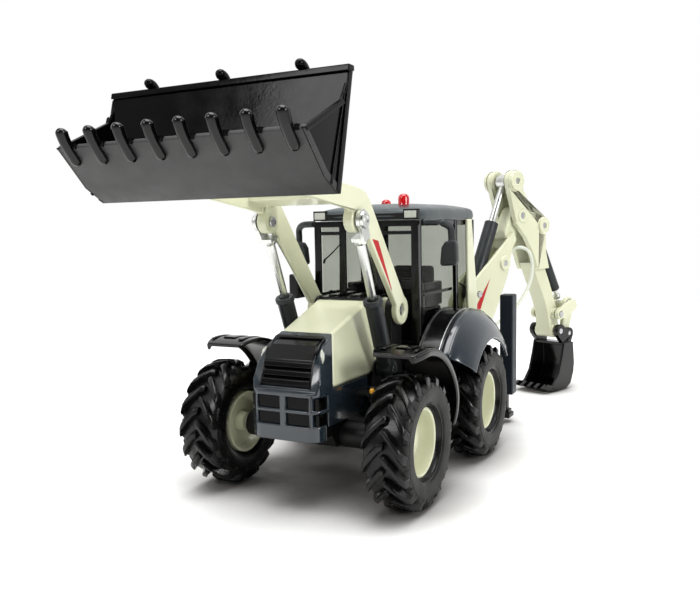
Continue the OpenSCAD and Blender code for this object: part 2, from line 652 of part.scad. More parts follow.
module stick_barrel() color(grey) backhoe() difference() {
    union() {
        strut(stick_foot, dipper_top, 2.3, 1.2, stick_ring);
        bar(stick_foot, 2, -2.3, 2.3);
    }
    bar(stick_foot, 1 + fit_gap, -4, 4);
    strut(stick_foot, dipper_top, 1.2 + fit_gap, 3.4, stick_ring + 1);
}

module stick_rod() color(steel) backhoe() {
    strut(stick_foot, dipper_top, 1.2, stick_ring - 16, stick_reach - 1);
    bar(dipper_top, 2.3, -1.9, 1.9);
}

module dipper_cheek() {
    link(dipper_top, boom_tip, 3.5, 3.6);
    polygon([[32, 60], [37.6, 55.2], [41.4, 49.8], [44.2, 44], [50.6, 44.2], [48.8, 50], [48.6, 56.4],
        [44.2, 61.8], [40.4, 64.6], [36.4, 70.6], [33, 62]]);
    dot(ram_head, 3.2);
}

module dipper() color(cream) backhoe() difference() {
    union() {
        plates(2.7, 4.6) dipper_cheek();
        plate(-2.8, 2.8) polygon([[43, 46.4], [44.2, 44], [47.4, 38.4], [50.6, 32.6], [52.4, 28], [53.7, 21.8],
            [58.3, 21.8], [58.2, 28], [56.4, 32.6], [53.6, 38.4], [50.6, 44.2], [50, 46.4]]);
        plate(-3.8, 3.8) dot(dipper_tip, 2.4);
        bars(dipper_top, 3.3, 2.3, 6);
        bars(boom_tip, 2.4, 4.6, 5);
        bars(ram_head, 2.8, 4.6, 5.4);
        bar(rocker_foot, 1.9, -4, 4);
    }
    bar(boom_tip, 1.1, -8, 8);
    bars(dipper_top, 1, 3.2, 8);
    bar(ram_head, 1, -8, 8);
    bar(rocker_foot, 1, -8, 8);
    bar(dipper_tip, 1, -8, 8);
}

// Pins of the dipper: at the boom, at the ram head and in the top bosses
module dipper_screws() color(steel) backhoe() {
    bar(boom_tip, 1.1, -4.8, 4.8);
    bars(dipper_top, 1, 3.2, 5.6);
    bar(ram_head, 1, -5.2, 5.2);
    bar(rocker_foot, 1, -6.3, 6.3);
    bar(dipper_tip, 1, -6, 6);
}

ram_ring = norm([60.4, 36.1] - ram_head);
ram_reach = norm(rocker_tip - ram_head);

module bucket_ram_barrel() color(grey) backhoe() difference() {
    union() {
        strut(ram_head, rocker_tip, 1.9, 1, ram_ring);
        bar(ram_head, 2, -2.3, 2.3);
    }
    bar(ram_head, 1 + fit_gap, -4, 4);
    strut(ram_head, rocker_tip, 0.7 + fit_gap, 5, ram_ring + 1);
}

module bucket_ram_rod() color(steel) backhoe() {
    strut(ram_head, rocker_tip, 0.7, ram_ring - 14, ram_reach - 3.6);
    strut(ram_head, rocker_tip, 1.2, ram_reach - 4.4, ram_reach - 2.8);
}

module rocker() color(cream) backhoe() difference() {
    union() {
        plates(4.4, 6) link(rocker_foot, rocker_tip, 1.9, 2.1);
        bar(rocker_tip, 1.6, -4.5, 4.5);
    }
    bars(rocker_foot, 1 + fit_gap, 3, 8);
}

// Pair of links that end short of the rocker's tube, open towards it
module bucket_link() color(cream) backhoe() difference() {
    plates(2.6, 4.2) link(rocker_tip, ear_pin, 2.9, 1.7);
    bars(rocker_tip, 2.1, 1, 6);
    bars(ear_pin, 0.8 + fit_gap, 1, 6);
}

module hoe_side() {
    polygon([[57, 17.2], [55.8, 12.4], [53.9, 6.6], [51.4, 3.4], [49.6, 2], [52.4, 0.4], [58.4, 0.4], [61.2, 2.2],
        [62.9, 6.2], [63.2, 9.6], [62.4, 17]]);
}

module hoe_bucket() color(black) backhoe() difference() {
    union() {
        plates(hoe_hw - 0.9, hoe_hw) hoe_side();
        plate(-hoe_hw, hoe_hw) polygon([[57, 17.2], [62.4, 17], [63.2, 9.6], [62.9, 6.2], [61.2, 2.2], [58.4, 0.4],
            [52.4, 0.4], [49.6, 2], [52.8, 1.4], [58, 1.4], [60.4, 2.9], [61.9, 6.4], [62.2, 9.6], [61.5, 16],
            [57.2, 16.2]]);
        for (i = [0:hoe_teeth - 1]) {
            w = (hoe_hw - 0.8) * (2 * i / (hoe_teeth - 1) - 1);
            plate(w - 0.7, w + 0.7) polygon([[44.6, 2.2], [47.2, 3.4], [50.4, 2.6], [52.6, 1], [52.2, 0.3], [48, 1]]);
        }
        plates(4.4, 6.1) {
            link(dipper_tip, [58.4, 17.4], 2.4, 1.3);
            link(ear_pin, [60.8, 17.4], 2.1, 1.3);
            link(dipper_tip, ear_pin, 1.4, 1.4);
        }
    }
    bar(dipper_tip, 1 + fit_gap, -8, 8);
    bar(ear_pin, 0.8, -8, 8);
}

module hoe_pins() color(steel) backhoe() bar(ear_pin, 0.8, -6, 6);

// ---------- hose ----------

// Point of a smooth curve through the route, t counted in route steps
function spline(pts, t) =
    let (n = len(pts), i = min(floor(t), n - 2), f = t - i,
         p0 = pts[max(i - 1, 0)], p1 = pts[i], p2 = pts[i + 1], p3 = pts[min(i + 2, n - 1)])
    0.5 * (2 * p1 + (p2 - p0) * f + (2 * p0 - 5 * p1 + 4 * p2 - p3) * f * f
        + (3 * p1 - p0 - 3 * p2 + p3) * f * f * f);

hose_sides = 8;
hose_rings = 28;

// Rings of a tube in the plane of the backhoe
function hose_ring(i) =
    let (last = len(hose_route) - 1, t = last * i / hose_rings, c = spline(hose_route, t),
         d = spline(hose_route, min(t + 0.05, last)) - spline(hose_route, max(t - 0.05, 0)),
         u = [0, d[1], d[2]] / norm([d[1], d[2]]), side = [0, -u[2], u[1]])
    [for (k = [0:hose_sides - 1]) c + hose_d / 2 * (cos(360 * k / hose_sides) * [1, 0, 0]
        + sin(360 * k / hose_sides) * side)];

module hose() color([0.9, 0.9, 0.86]) backhoe() {
    n = hose_sides;
    polyhedron(points = [for (i = [0:hose_rings]) each hose_ring(i)],
        faces = concat(
            [[for (k = [0:n - 1]) k]],
            [for (i = [0:hose_rings - 1], k = [0:n - 1])
                [i * n + k, (i + 1) * n + k, (i + 1) * n + (k + 1) % n, i * n + (k + 1) % n]],
            [[for (k = [n - 1:-1:0]) hose_rings * n + k]]));
}

base_plate();
chassis_frame();
chassis_screws();
nose_grille();
grille_louvres();
hood();
cowl_panel();
cab_tub();
cab_frame();
cab_glass();
cab_roof();
rear_pillars();
work_lights();
beacons();
mirrors();
wiper();
dashboard();
driver_seat();
steering_wheel();
front_fender_left();
front_fender_right();
rear_fender_left();
rear_fender_right();
pivot_pins();
rear_frame();
front_axle();
rim_front_left();
rim_front_right();
tyre_front_left();
tyre_front_right();
rear_axle();
rim_rear_left();
rim_rear_right();
tyre_rear_left();
tyre_rear_right();
loader_arms();
arm_screws();
lift_barrel_left();
lift_barrel_right();
lift_rod_left();
lift_rod_right();
loader_bucket();
bucket_pins();
stabilizer_leg_left();
stabilizer_leg_right();
swing_bracket();
boom_pins();
boom();
boom_screws();
stick_barrel();
stick_rod();
dipper();
dipper_screws();
bucket_ram_barrel();
bucket_ram_rod();
rocker();
bucket_link();
hoe_bucket();
hoe_pins();
hose();
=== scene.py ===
"""Toy backhoe loader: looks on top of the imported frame. Metres; helpers take millimetres."""

import math

import bmesh
import bpy
from mathutils import Matrix, Vector


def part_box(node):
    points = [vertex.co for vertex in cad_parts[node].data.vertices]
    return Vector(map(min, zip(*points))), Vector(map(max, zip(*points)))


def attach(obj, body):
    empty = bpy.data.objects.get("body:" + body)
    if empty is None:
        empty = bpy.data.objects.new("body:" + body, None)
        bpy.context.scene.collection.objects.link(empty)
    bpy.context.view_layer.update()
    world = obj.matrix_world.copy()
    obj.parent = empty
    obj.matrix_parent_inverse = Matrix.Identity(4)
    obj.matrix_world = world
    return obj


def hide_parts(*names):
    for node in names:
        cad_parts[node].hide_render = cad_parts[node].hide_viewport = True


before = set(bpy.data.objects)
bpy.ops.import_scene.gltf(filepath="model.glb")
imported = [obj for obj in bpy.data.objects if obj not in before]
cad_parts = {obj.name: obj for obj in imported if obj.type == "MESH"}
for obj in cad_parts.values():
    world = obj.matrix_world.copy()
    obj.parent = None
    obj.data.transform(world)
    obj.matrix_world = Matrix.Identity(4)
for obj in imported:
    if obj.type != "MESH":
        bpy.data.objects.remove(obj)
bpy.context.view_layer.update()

MM = 0.001


def axle(end):
    """Place of a wheel axle's centre line, as (y, z) in the frame, to a tenth of a millimetre."""
    low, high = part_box(f"{end}_axle")
    return round((low.y + high.y) / 2 / MM, 1), round((low.z + high.z) / 2 / MM, 1)


MID_Y = (axle("front")[0] + axle("rear")[0]) / 2  # half way between the axles
AXLES = {end: axle(end)[0] - MID_Y for end in ("front", "rear")}
AXLE_Z = axle("front")[1]
SWING = math.radians(22)  # how far the digging arm rests to the machine's left
KING_Y = 58  # the kingpost, from half way between the axles


def machine(x, y, z):
    """A point counted from half way between the axles."""
    return Vector((x, y + MID_Y, z)) * MM


def hoe(w, s, z):
    """A point of the digging arm: w across it, s outwards from the kingpost."""
    c, n = math.cos(SWING), math.sin(SWING)
    return machine(w * c + s * n, KING_Y - w * n + s * c, z)


# ---------- camera ----------

YAW, PITCH, ROLL = (math.radians(a) for a in (27.75, -5.86, -1.08))
EYE = (88.2, -171.16, 60.52)
LENS = 40.04

cam_data = bpy.data.cameras.new("camera")
cam = bpy.data.objects.new("camera", cam_data)
bpy.context.scene.collection.objects.link(cam)
bpy.context.scene.camera = cam
forward = Vector((-math.sin(YAW) * math.cos(PITCH), math.cos(YAW) * math.cos(PITCH), math.sin(PITCH)))
level = Vector((math.cos(YAW), math.sin(YAW), 0))
upward = level.cross(forward)
right = level * math.cos(ROLL) + upward * math.sin(ROLL)
up = upward * math.cos(ROLL) - level * math.sin(ROLL)
pose = Matrix((right, up, -forward)).transposed().to_4x4()
pose.translation = machine(*EYE)
cam.matrix_world = pose
cam_data.lens = LENS
cam_data.sensor_width = 36
cam_data.sensor_fit = "HORIZONTAL"
cam_data.clip_start = 0.01
cam_data.clip_end = 20
cam_data.dof.use_dof = False


# ---------- materials ----------


def material(name, colour, rough, metallic=0.0, **sockets):
    """A Principled material, with its node tree and its shader."""
    mat = bpy.data.materials.new(name)
    mat.use_nodes = True
    tree = mat.node_tree
    bsdf = tree.nodes["Principled BSDF"]
    bsdf.inputs["Base Color"].default_value = (*colour, 1)
    bsdf.inputs["Roughness"].default_value = rough
    bsdf.inputs["Metallic"].default_value = metallic
    for key, value in sockets.items():
        bsdf.inputs[key.replace("_", " ")].default_value = value
    return mat, tree, bsdf


def noise(tree, scale, detail=3, stretch=(1, 1, 1)):
    """Noise in object space."""
    coord = tree.nodes.new("ShaderNodeTexCoord")
    mapping = tree.nodes.new("ShaderNodeMapping")
    mapping.inputs["Scale"].default_value = stretch
    tex = tree.nodes.new("ShaderNodeTexNoise")
    tex.inputs["Scale"].default_value = scale
    tex.inputs["Detail"].default_value = detail
    tree.links.new(coord.outputs["Object"], mapping.inputs["Vector"])
    tree.links.new(mapping.outputs["Vector"], tex.inputs["Vector"])
    return tex.outputs["Fac"]


def span(tree, value, low, high, start=0.3, end=0.7):
    """Maps a noise value to a range of numbers."""
    node = tree.nodes.new("ShaderNodeMapRange")
    node.inputs["From Min"].default_value = start
    node.inputs["From Max"].default_value = end
    node.inputs["To Min"].default_value = low
    node.inputs["To Max"].default_value = high
    tree.links.new(value, node.inputs["Value"])
    return node.outputs["Result"]


def tint(tree, value, first, second):
    """Mixes two colours by a value from 0 to 1."""
    node = tree.nodes.new("ShaderNodeMix")
    node.data_type = "RGBA"
    node.inputs["A"].default_value = (*first, 1)
    node.inputs["B"].default_value = (*second, 1)
    tree.links.new(value, node.inputs["Factor"])
    return node.outputs["Result"]


SKIN_DEPTH = 0.0001  # how deep the grain of a surface goes


def bump(tree, bsdf, height, strength):
    """Fine relief in the surface."""
    node = tree.nodes.new("ShaderNodeBump")
    node.inputs["Strength"].default_value = strength
    node.inputs["Distance"].default_value = SKIN_DEPTH
    tree.links.new(height, node.inputs["Height"])
    tree.links.new(node.outputs["Normal"], bsdf.inputs["Normal"])


def coated(name, colour, shade, rough, spread, grain, painted_corner_shade=0.0, **sockets):
    """Paint or moulded plastic: clouded colour, uneven gloss, a fine skin, and painted shade in its corners.

    rough varies by spread either way; grain is the skin's (noise scale, strength); the corner darkening is
    painted shade, found by ambient occlusion.
    """
    mat, tree, bsdf = material(name, colour, rough, **sockets)
    cloud = span(tree, noise(tree, 90, 4), 0, 1)
    result = tint(tree, cloud, colour, shade)
    # painted shade: the colour is darkened where ambient occlusion finds corners and creases
    if painted_corner_shade:
        occlusion = tree.nodes.new("ShaderNodeAmbientOcclusion")
        occlusion.inputs["Distance"].default_value = 0.002
        occlusion.samples = 16
        corner = span(tree, occlusion.outputs["AO"], painted_corner_shade, 0, 0.25, 0.85)
        dark = tree.nodes.new("ShaderNodeMix")
        dark.data_type = "RGBA"
        dark.inputs["B"].default_value = (*[c * 0.42 for c in shade], 1)
        tree.links.new(result, dark.inputs["A"])
        tree.links.new(corner, dark.inputs["Factor"])
        result = dark.outputs["Result"]
    tree.links.new(result, bsdf.inputs["Base Color"])
    gloss = span(tree, noise(tree, 260, 5), rough - spread, rough + spread)
    tree.links.new(gloss, bsdf.inputs["Roughness"])
    bump(tree, bsdf, noise(tree, grain[0], 3), grain[1])
    return mat


# only the cream paint has its corners darkened by painted shade (0.45)
cream = coated(
    "cream_enamel", (0.6, 0.61, 0.43), (0.585, 0.596, 0.418), 0.3, 0.02, (1500, 0.03), 0.45,
    Coat_Weight=0.3, Coat_Roughness=0.1,
)
slate = coated(
    "slate_enamel", (0.013, 0.02, 0.027), (0.01, 0.016, 0.022), 0.16, 0.04, (1200, 0.05),
    Coat_Weight=0.4, Coat_Roughness=0.06,
)
slate_satin = coated(
    "slate_satin", (0.011, 0.016, 0.022), (0.008, 0.012, 0.017), 0.45, 0.07, (2600, 0.2),
    Specular_IOR_Level=0.22,
)
grey = coated(
    "grey_plastic", (0.016, 0.019, 0.02), (0.012, 0.015, 0.016), 0.4, 0.07, (3800, 0.25),
    Specular_IOR_Level=0.3,
)
roof_grey = coated(
    "roof_plastic", (0.036, 0.048, 0.052), (0.03, 0.041, 0.044), 0.32, 0.06, (3000, 0.15),
    Specular_IOR_Level=0.4,
)
seat_grey = coated(
    "seat_plastic", (0.022, 0.022, 0.018), (0.016, 0.016, 0.013), 0.55, 0.05, (3000, 0.05),
    Specular_IOR_Level=0.15,
)
black = coated(
    "black_gloss", (0.0012, 0.0012, 0.0012), (0.002, 0.002, 0.002), 0.16, 0.04, (1600, 0.03),
    Specular_IOR_Level=0.32,
)
# the same black plastic made darker and less reflective: painted shade, for the bucket's inside and the
# backs of the bumper slots
painted_shade_black = coated(
    "painted_shade_black_gloss", (0.001, 0.001, 0.001), (0.0015, 0.0015, 0.0015), 0.14, 0.05, (1600, 0.1),
    Specular_IOR_Level=0.1,
)
# the same black plastic made lighter in colour: a painted sheen, with stronger real reflection, for the
# bucket's underside
painted_sheen_black = coated(
    "painted_sheen_black", (0.012, 0.012, 0.012), (0.016, 0.016, 0.016), 0.5, 0.06, (4200, 0.35),
    Specular_IOR_Level=0.5,
)
dark = coated(
    "black_satin", (0.003, 0.003, 0.003), (0.006, 0.006, 0.006), 0.42, 0.08, (3500, 0.3),
    Specular_IOR_Level=0.2,
)
rubber = coated(
    "tyre_rubber", (0.002, 0.002, 0.002), (0.004, 0.004, 0.004), 0.27, 0.1, (2600, 0.35),
    Specular_IOR_Level=0.28,
)
side_wall = coated(
    "tyre_side_wall", (0.009, 0.009, 0.0085), (0.013, 0.013, 0.012), 0.55, 0.08, (3200, 0.3),
    Specular_IOR_Level=0.25,
)
red_paint = coated(
    "stripe_red", (0.42, 0.004, 0.006), (0.36, 0.003, 0.005), 0.4, 0.05, (1500, 0.08),
    Specular_IOR_Level=0.25,
)
hose_mat = coated(
    "hose_plastic", (0.66, 0.68, 0.58), (0.55, 0.58, 0.48), 0.35, 0.06, (2600, 0.15),
    Subsurface_Weight=0.15,
)
lens = coated("lamp_face", (0.5, 0.51, 0.45), (0.36, 0.37, 0.33), 0.22, 0.05, (900, 0.4), Coat_Weight=0.6)


def bright(name, colour, rough, stretch):
    """Plated metal with a fine brushed finish along one axis."""
    mat, tree, bsdf = material(name, colour, rough, 1.0)
    brushed = span(tree, noise(tree, 900, 4, stretch), rough - 0.07, rough + 0.09)
    tree.links.new(brushed, bsdf.inputs["Roughness"])
    cloud = span(tree, noise(tree, 220, 4), 0, 1)
    tree.links.new(tint(tree, cloud, colour, [c * 0.86 for c in colour]), bsdf.inputs["Base Color"])
    bump(tree, bsdf, noise(tree, 2400, 2, stretch), 0.12)
    return mat


chrome = bright("plated_steel", (0.66, 0.67, 0.64), 0.3, (1, 1, 0.15))
screw_steel = bright("screw_steel", (0.56, 0.57, 0.58), 0.27, (0.2, 1, 1))


def clear(name, tone, gloss):
    """Thin plastic pane: the light that passes is toned down, and a clear coat reflects."""
    mat, tree, bsdf = material(name, (0.02, 0.02, 0.02), gloss, Coat_Weight=1.0, Coat_Roughness=0.03)
    tree.links.new(span(tree, noise(tree, 160, 5), gloss, gloss + 0.08), bsdf.inputs["Roughness"])
    passing = tree.nodes.new("ShaderNodeBsdfTransparent")
    cloud = span(tree, noise(tree, 60, 3), 0, 1)
    tree.links.new(tint(tree, cloud, tone, [c * 0.95 for c in tone]), passing.inputs["Color"])
    both = tree.nodes.new("ShaderNodeMixShader")
    both.inputs["Fac"].default_value = 0.07
    tree.links.new(passing.outputs["BSDF"], both.inputs[1])
    tree.links.new(bsdf.outputs["BSDF"], both.inputs[2])
    tree.links.new(both.outputs["Shader"], tree.nodes["Material Output"].inputs["Surface"])
    return mat


panes = clear("clear_panes", (0.83, 0.84, 0.81), 0.04)

red_glass, red_tree, red_bsdf = material(
    "red_lens", (0.85, 0.008, 0.012), 0.1, Transmission_Weight=0.45, IOR=1.45, Coat_Weight=0.5
)
red_cloud = span(red_tree, noise(red_tree, 400, 3), 0, 1)
red_tone = tint(red_tree, red_cloud, (0.85, 0.01, 0.014), (0.6, 0.004, 0.008))
red_tree.links.new(red_tone, red_bsdf.inputs["Base Color"])
bump(red_tree, red_bsdf, noise(red_tree, 900, 2), 0.1)

amber = coated("amber_lens", (0.85, 0.42, 0.02), (0.7, 0.3, 0.01), 0.2, 0.04, (900, 0.2), Coat_Weight=0.6)


# ---------- mesh helpers ----------

BEVEL_ABOVE = math.radians(32)  # edges sharper than this are rounded off
FLAT = math.radians(0.6)  # faces that meet at less are joined
SAME_PLACE = 2e-6  # corners of a CAD node nearer than this are one, in metres
SAME_POINT = 1e-4  # vertices nearer than this are one, in millimetres


def dress(obj, mat, body, stands_for=(), bevel=0.0, segments=2, smooth=38):
    """Gives an object its material, soft edges and shading, and sets it on its body.

    bevel is in millimetres, with segments steps; creases sharper than smooth degrees stay sharp.
    """
    obj.data.materials.clear()
    obj.data.materials.append(mat)
    for poly in obj.data.polygons:
        poly.use_smooth = True
        poly.material_index = 0
    if bevel:
        mod = obj.modifiers.new("edges", "BEVEL")
        mod.width = bevel * MM
        mod.segments = segments
        mod.limit_method = "ANGLE"
        mod.angle_limit = BEVEL_ABOVE
        mod.use_clamp_overlap = False
        mod.miter_outer = "MITER_SHARP"
    obj.data.set_sharp_from_angle(angle=math.radians(smooth))
    if bevel:
        mod = obj.modifiers.new("shading", "WEIGHTED_NORMAL")
        mod.keep_sharp = False
        for edge in obj.data.edges:
            edge.use_edge_sharp = False
    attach(obj, body)
    if stands_for:
        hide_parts(*stands_for)
    return obj


def made(name, bm, place=machine):
    """Turns a bmesh in millimetres into an object in the row frame."""
    for v in bm.verts:
        v.co = place(*v.co)
    bmesh.ops.recalc_face_normals(bm, faces=bm.faces)
    mesh = bpy.data.meshes.new(name)
    bm.to_mesh(mesh)
    bm.free()
    obj = bpy.data.objects.new(name, mesh)
    bpy.context.scene.collection.objects.link(obj)
    return obj


def finer(node, mat, body, bevel=0.0, segments=2, smooth=38, moved=None):
    """A CAD node's own shape with its flat faces joined and its edges rounded off.

    moved, when given, takes a vertex's place and gives its new one.
    """
    bm = bmesh.new()
    bm.from_mesh(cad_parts[node].data)
    for v in bm.verts if moved else ():
        v.co = moved(v.co)
    bmesh.ops.remove_doubles(bm, verts=bm.verts, dist=SAME_PLACE)
    bmesh.ops.dissolve_limit(bm, angle_limit=FLAT, verts=bm.verts, edges=bm.edges)
    obj = made(node + "_finish", bm, lambda *place: Vector(place))
    return dress(obj, mat, body, (node,), bevel, segments, smooth)


def keep(node, mat):
    """A CAD node that stays as it is, with a better material."""
    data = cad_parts[node].data
    for i in range(len(data.materials)):
        data.materials[i] = mat


def skin(bm, rings):
    """Joins each ring of vertices to the next one, and closes the first and the last."""
    count = len(rings[0])
    for a, b in zip(rings, rings[1:]):
        for k in range(count):
            m = (k + 1) % count
            bm.faces.new((a[k], a[m], b[m], b[k]))
    bm.faces.new(rings[0])
    bm.faces.new(reversed(rings[-1]))


def prism(bm, outline, x0, x1):
    """An outline in (y, z) as a plate from x0 to x1."""
    skin(bm, [[bm.verts.new((x, y, z)) for y, z in outline] for x in (x0, x1)])


def panel(bm, outline, y0, y1):
    """An outline in (x, z) as a plate from y0 to y1."""
    skin(bm, [[bm.verts.new((x, y, z)) for x, z in outline] for y in (y0, y1)])


def block(bm, low, high):
    """A box between two corners."""
    prism(bm, [(low[1], low[2]), (high[1], low[2]), (high[1], high[2]), (low[1], high[2])], low[0], high[0])


SIDES = {"left": 1, "right": -1}


def one_side(side, x0, x1):
    """The stretch from x0 to x1, turned to one side of the machine."""
    return (x0, x1) if side > 0 else (-x1, -x0)


def mirrored(x0, x1):
    """The same stretch on the machine's right and on its left."""
    return one_side(-1, x0, x1), one_side(1, x0, x1)


def on_side(side, profile, middle=0.0):
    """A profile of (radius, x from middle), turned to one side of the machine."""
    return [(r, side * (middle + x)) for r, x in profile]


def lathe(bm, profile, centre, count=64, a0=0.0, a1=360.0, closed=False):
    """Turns (radius, x) points about the line through centre = (y, z) along X; a0 to a1 from +Y to +Z."""
    whole = abs(a1 - a0) >= 360
    steps = count if whole else count + 1
    rings = []
    for i in range(steps):
        a = math.radians(a0 + (a1 - a0) * i / count)
        rings.append(
            [bm.verts.new((x, centre[0] + r * math.cos(a), centre[1] + r * math.sin(a))) for r, x in profile]
        )
    pairs = [(i, (i + 1) % steps) for i in range(steps if whole else steps - 1)]
    n = len(profile)
    for a, b in pairs:
        for k in range(n if closed else n - 1):
            m = (k + 1) % n
            bm.faces.new((rings[a][k], rings[b][k], rings[b][m], rings[a][m]))
    if not whole and closed:
        bm.faces.new(rings[0])
        bm.faces.new(reversed(rings[-1]))
    bmesh.ops.remove_doubles(bm, verts=bm.verts, dist=SAME_POINT)


def strut(bm, p, q, profile, x=0.0, count=40):
    """Turns (radius, distance from p) points about the line from p towards q, both (y, z), at x."""
    d = Vector((q[0] - p[0], q[1] - p[1])).normalized()
    rings = []
    for r, t in profile:
        centre = Vector((x, p[0] + d[0] * t, p[1] + d[1] * t))
        side = Vector((0, -d[1], d[0]))
        rings.append(
            [
                bm.verts.new(centre + r * (math.cos(a) * Vector((1, 0, 0)) + math.sin(a) * side))
                for a in (2 * math.pi * k / count for k in range(count))
            ]
        )
    skin(bm, rings)


def sweep(bm, points, radii, count=10):
    """A round bar along points, with a radius at each."""
    rings = []
    for i, p in enumerate(points):
        p = Vector(p)
        d = (Vector(points[min(i + 1, len(points) - 1)]) - Vector(points[max(i - 1, 0)])).normalized()
        a = Vector((1, 0, 0)) if abs(d.x) < 0.9 else Vector((0, 1, 0))
        b = d.cross(a).normalized()
        a = b.cross(d)
        rings.append(
            [
                bm.verts.new(p + radii[i] * (math.cos(t) * a + math.sin(t) * b))
                for t in (2 * math.pi * k / count for k in range(count))
            ]
        )
    skin(bm, rings)


def curve_through(points, steps):
    """A smooth run of points through the given ones."""
    pts = [Vector(p) for p in points]
    out = []
    for i in range(len(pts) - 1):
        p0, p1, p2, p3 = pts[max(i - 1, 0)], pts[i], pts[i + 1], pts[min(i + 2, len(pts) - 1)]
        for k in range(steps):
            f = k / steps
            out.append(
                0.5
                * (
                    2 * p1
                    + (p2 - p0) * f
                    + (2 * p0 - 5 * p1 + 4 * p2 - p3) * f * f
                    + (3 * p1 - p0 - 3 * p2 + p3) * f * f * f
                )
            )
    return [*out, pts[-1]]


# ---------- hose ----------

HOSE_D = 1.1
hose_route = [
    (1, 30.2, 49), (1.2, 32, 50.4), (2.6, 33.4, 51.6), (4.4, 34.8, 52), (5.5, 36.4, 51.2),
    (5.7, 38, 49.6), (5.7, 39, 47.2), (5.7, 39.2, 44.4), (5.6, 38.8, 41.4), (5.2, 37.6, 38.4),
    (4.8, 35.6, 35.4), (4.2, 33, 32.6), (3.6, 30, 30.2), (3, 26.8, 28.2), (2.4, 23.6, 26.6),
    (1.8, 20.6, 25.6), (1.4, 18, 25),
]
hose_points = [hoe(*p) for p in curve_through(hose_route, 4)]
hose_curve = bpy.data.curves.new("hose_run", "CURVE")
hose_curve.dimensions = "3D"
hose_curve.bevel_depth = HOSE_D / 2 * MM
hose_curve.bevel_resolution = 4
hose_curve.use_fill_caps = True
spline = hose_curve.splines.new("POLY")
spline.points.add(len(hose_points) - 1)
for point, place_at in zip(spline.points, hose_points):
    point.co = (*place_at, 1)
spline.use_smooth = True
hose = bpy.data.objects.new("hose_run", hose_curve)
bpy.context.scene.collection.objects.link(hose)
hose_curve.materials.append(hose_mat)
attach(hose, "backhoe_boom")
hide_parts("hose")


# ---------- wheels ----------

TYRE_MID = 23.2  # middle of a tyre's width, from the middle of the machine
LUGS = 16  # chevron bars on each side of the tread
LUG_LEAN = 4.3  # degrees that a bar trails for each millimetre from the middle of the tread
SHOULDER = 4.6  # from the middle of the tread to its shoulder
NOTCHES = 32  # notches round the sidewall
BOLTS = 8
BOLT_R = 4.45  # radius of the circle of bolts

# tyre profiles: radius, and place across the tyre from its middle
carcass = [
    (7.3, -3.7), (7.9, -4.45), (8.6, -4.7), (9.0, -4.85), (10.6, -5.1), (11.9, -5.0), (12.5, -4.6),
    (12.85, -3.9), (12.95, -2.4), (13.0, 0), (12.95, 2.4), (12.85, 3.9), (12.5, 4.6), (11.9, 5.0),
    (10.6, 5.12), (9.3, 4.95), (8.95, 4.9), (8.75, 4.55), (8.3, 4.5), (8.05, 4.3), (7.75, 3.4),
    (7.3, 3.0),
]
wall_ring = [(8.7, 4.7), (9.0, 4.95), (10.6, 5.2), (11.7, 5.15), (11.8, 4.6)]
wall_tooth = [(11.75, 4.6), (11.75, 5.12), (12.45, 4.95), (12.75, 4.5), (12.75, 4.0)]
# a lug's path: place across the tyre, radius at its foot and at its top, half width along the tread
lug_path = [
    (-0.25, 12.7, 14.2, 0.75), (0.7, 12.7, 14.5, 0.95), (2.2, 12.6, 14.5, 1.0), (3.7, 12.4, 14.4, 1.1),
    (SHOULDER, 12.0, 13.9, 1.2),
]
# its end, turned down on to the sidewall: place across the tyre, radius, half width
lug_end = ((SHOULDER, 11.0, 0.95), (4.98, 11.3, 0.75), (5.0, 12.2, 0.8))
# rim profiles: radius, and distance from the middle of the machine
rim_dish = [
    (7.15, 18.5), (7.15, 25.0), (7.5, 25.55), (7.62, 26.0), (7.5, 26.35), (7.15, 26.5), (6.85, 26.35),
    (6.7, 25.9), (6.62, 24.6), (6.4, 23.2), (6.05, 22.75), (5.6, 22.7), (5.2, 22.9), (3.7, 23.15),
    (3.3, 23.0), (2.9, 22.9), (2.6, 23.2), (2.45, 24.1), (2.2, 24.5), (1.2, 24.65), (0.9, 24.9),
    (0.02, 25.0),
]
rim_back = [(1.02, 18.5), (2.0, 18.6), (2.3, 20.6), (5.6, 20.5), (6.3, 19.6), (6.6, 18.5)]


def add_lug(bm, centre, start, way, side):
    """One chevron bar from the middle of the tread over the shoulder on to the sidewall.

    way is 1 for the bars on the outer half of the tread, and -1 for the inner half.
    """

    def ring(turn, levels):
        """One section of the bar, with two vertices at each (place across, radius, half width)."""
        pairs = []
        for across, r, half in levels:
            x = side * (TYRE_MID + way * across)
            for sign in (-1, 1):
                a = math.radians(turn) + sign * half / r
                pairs.append(bm.verts.new((x, centre + r * math.cos(a), AXLE_Z + r * math.sin(a))))
        return [pairs[k] for k in (0, 2, 4, 5, 3, 1)]

    rings = []
    for across, foot, top, half in lug_path:
        turn = start + (abs(across) * LUG_LEAN + 1.2 * max(0, across - 2) ** 1.2)
        levels = ((across, foot, half + 0.25), (across, top - 0.25, half), (across, top, half - 0.3))
        rings.append(ring(turn, levels))
    rings.append(ring(start + SHOULDER * LUG_LEAN + 6, lug_end))
    skin(bm, rings)


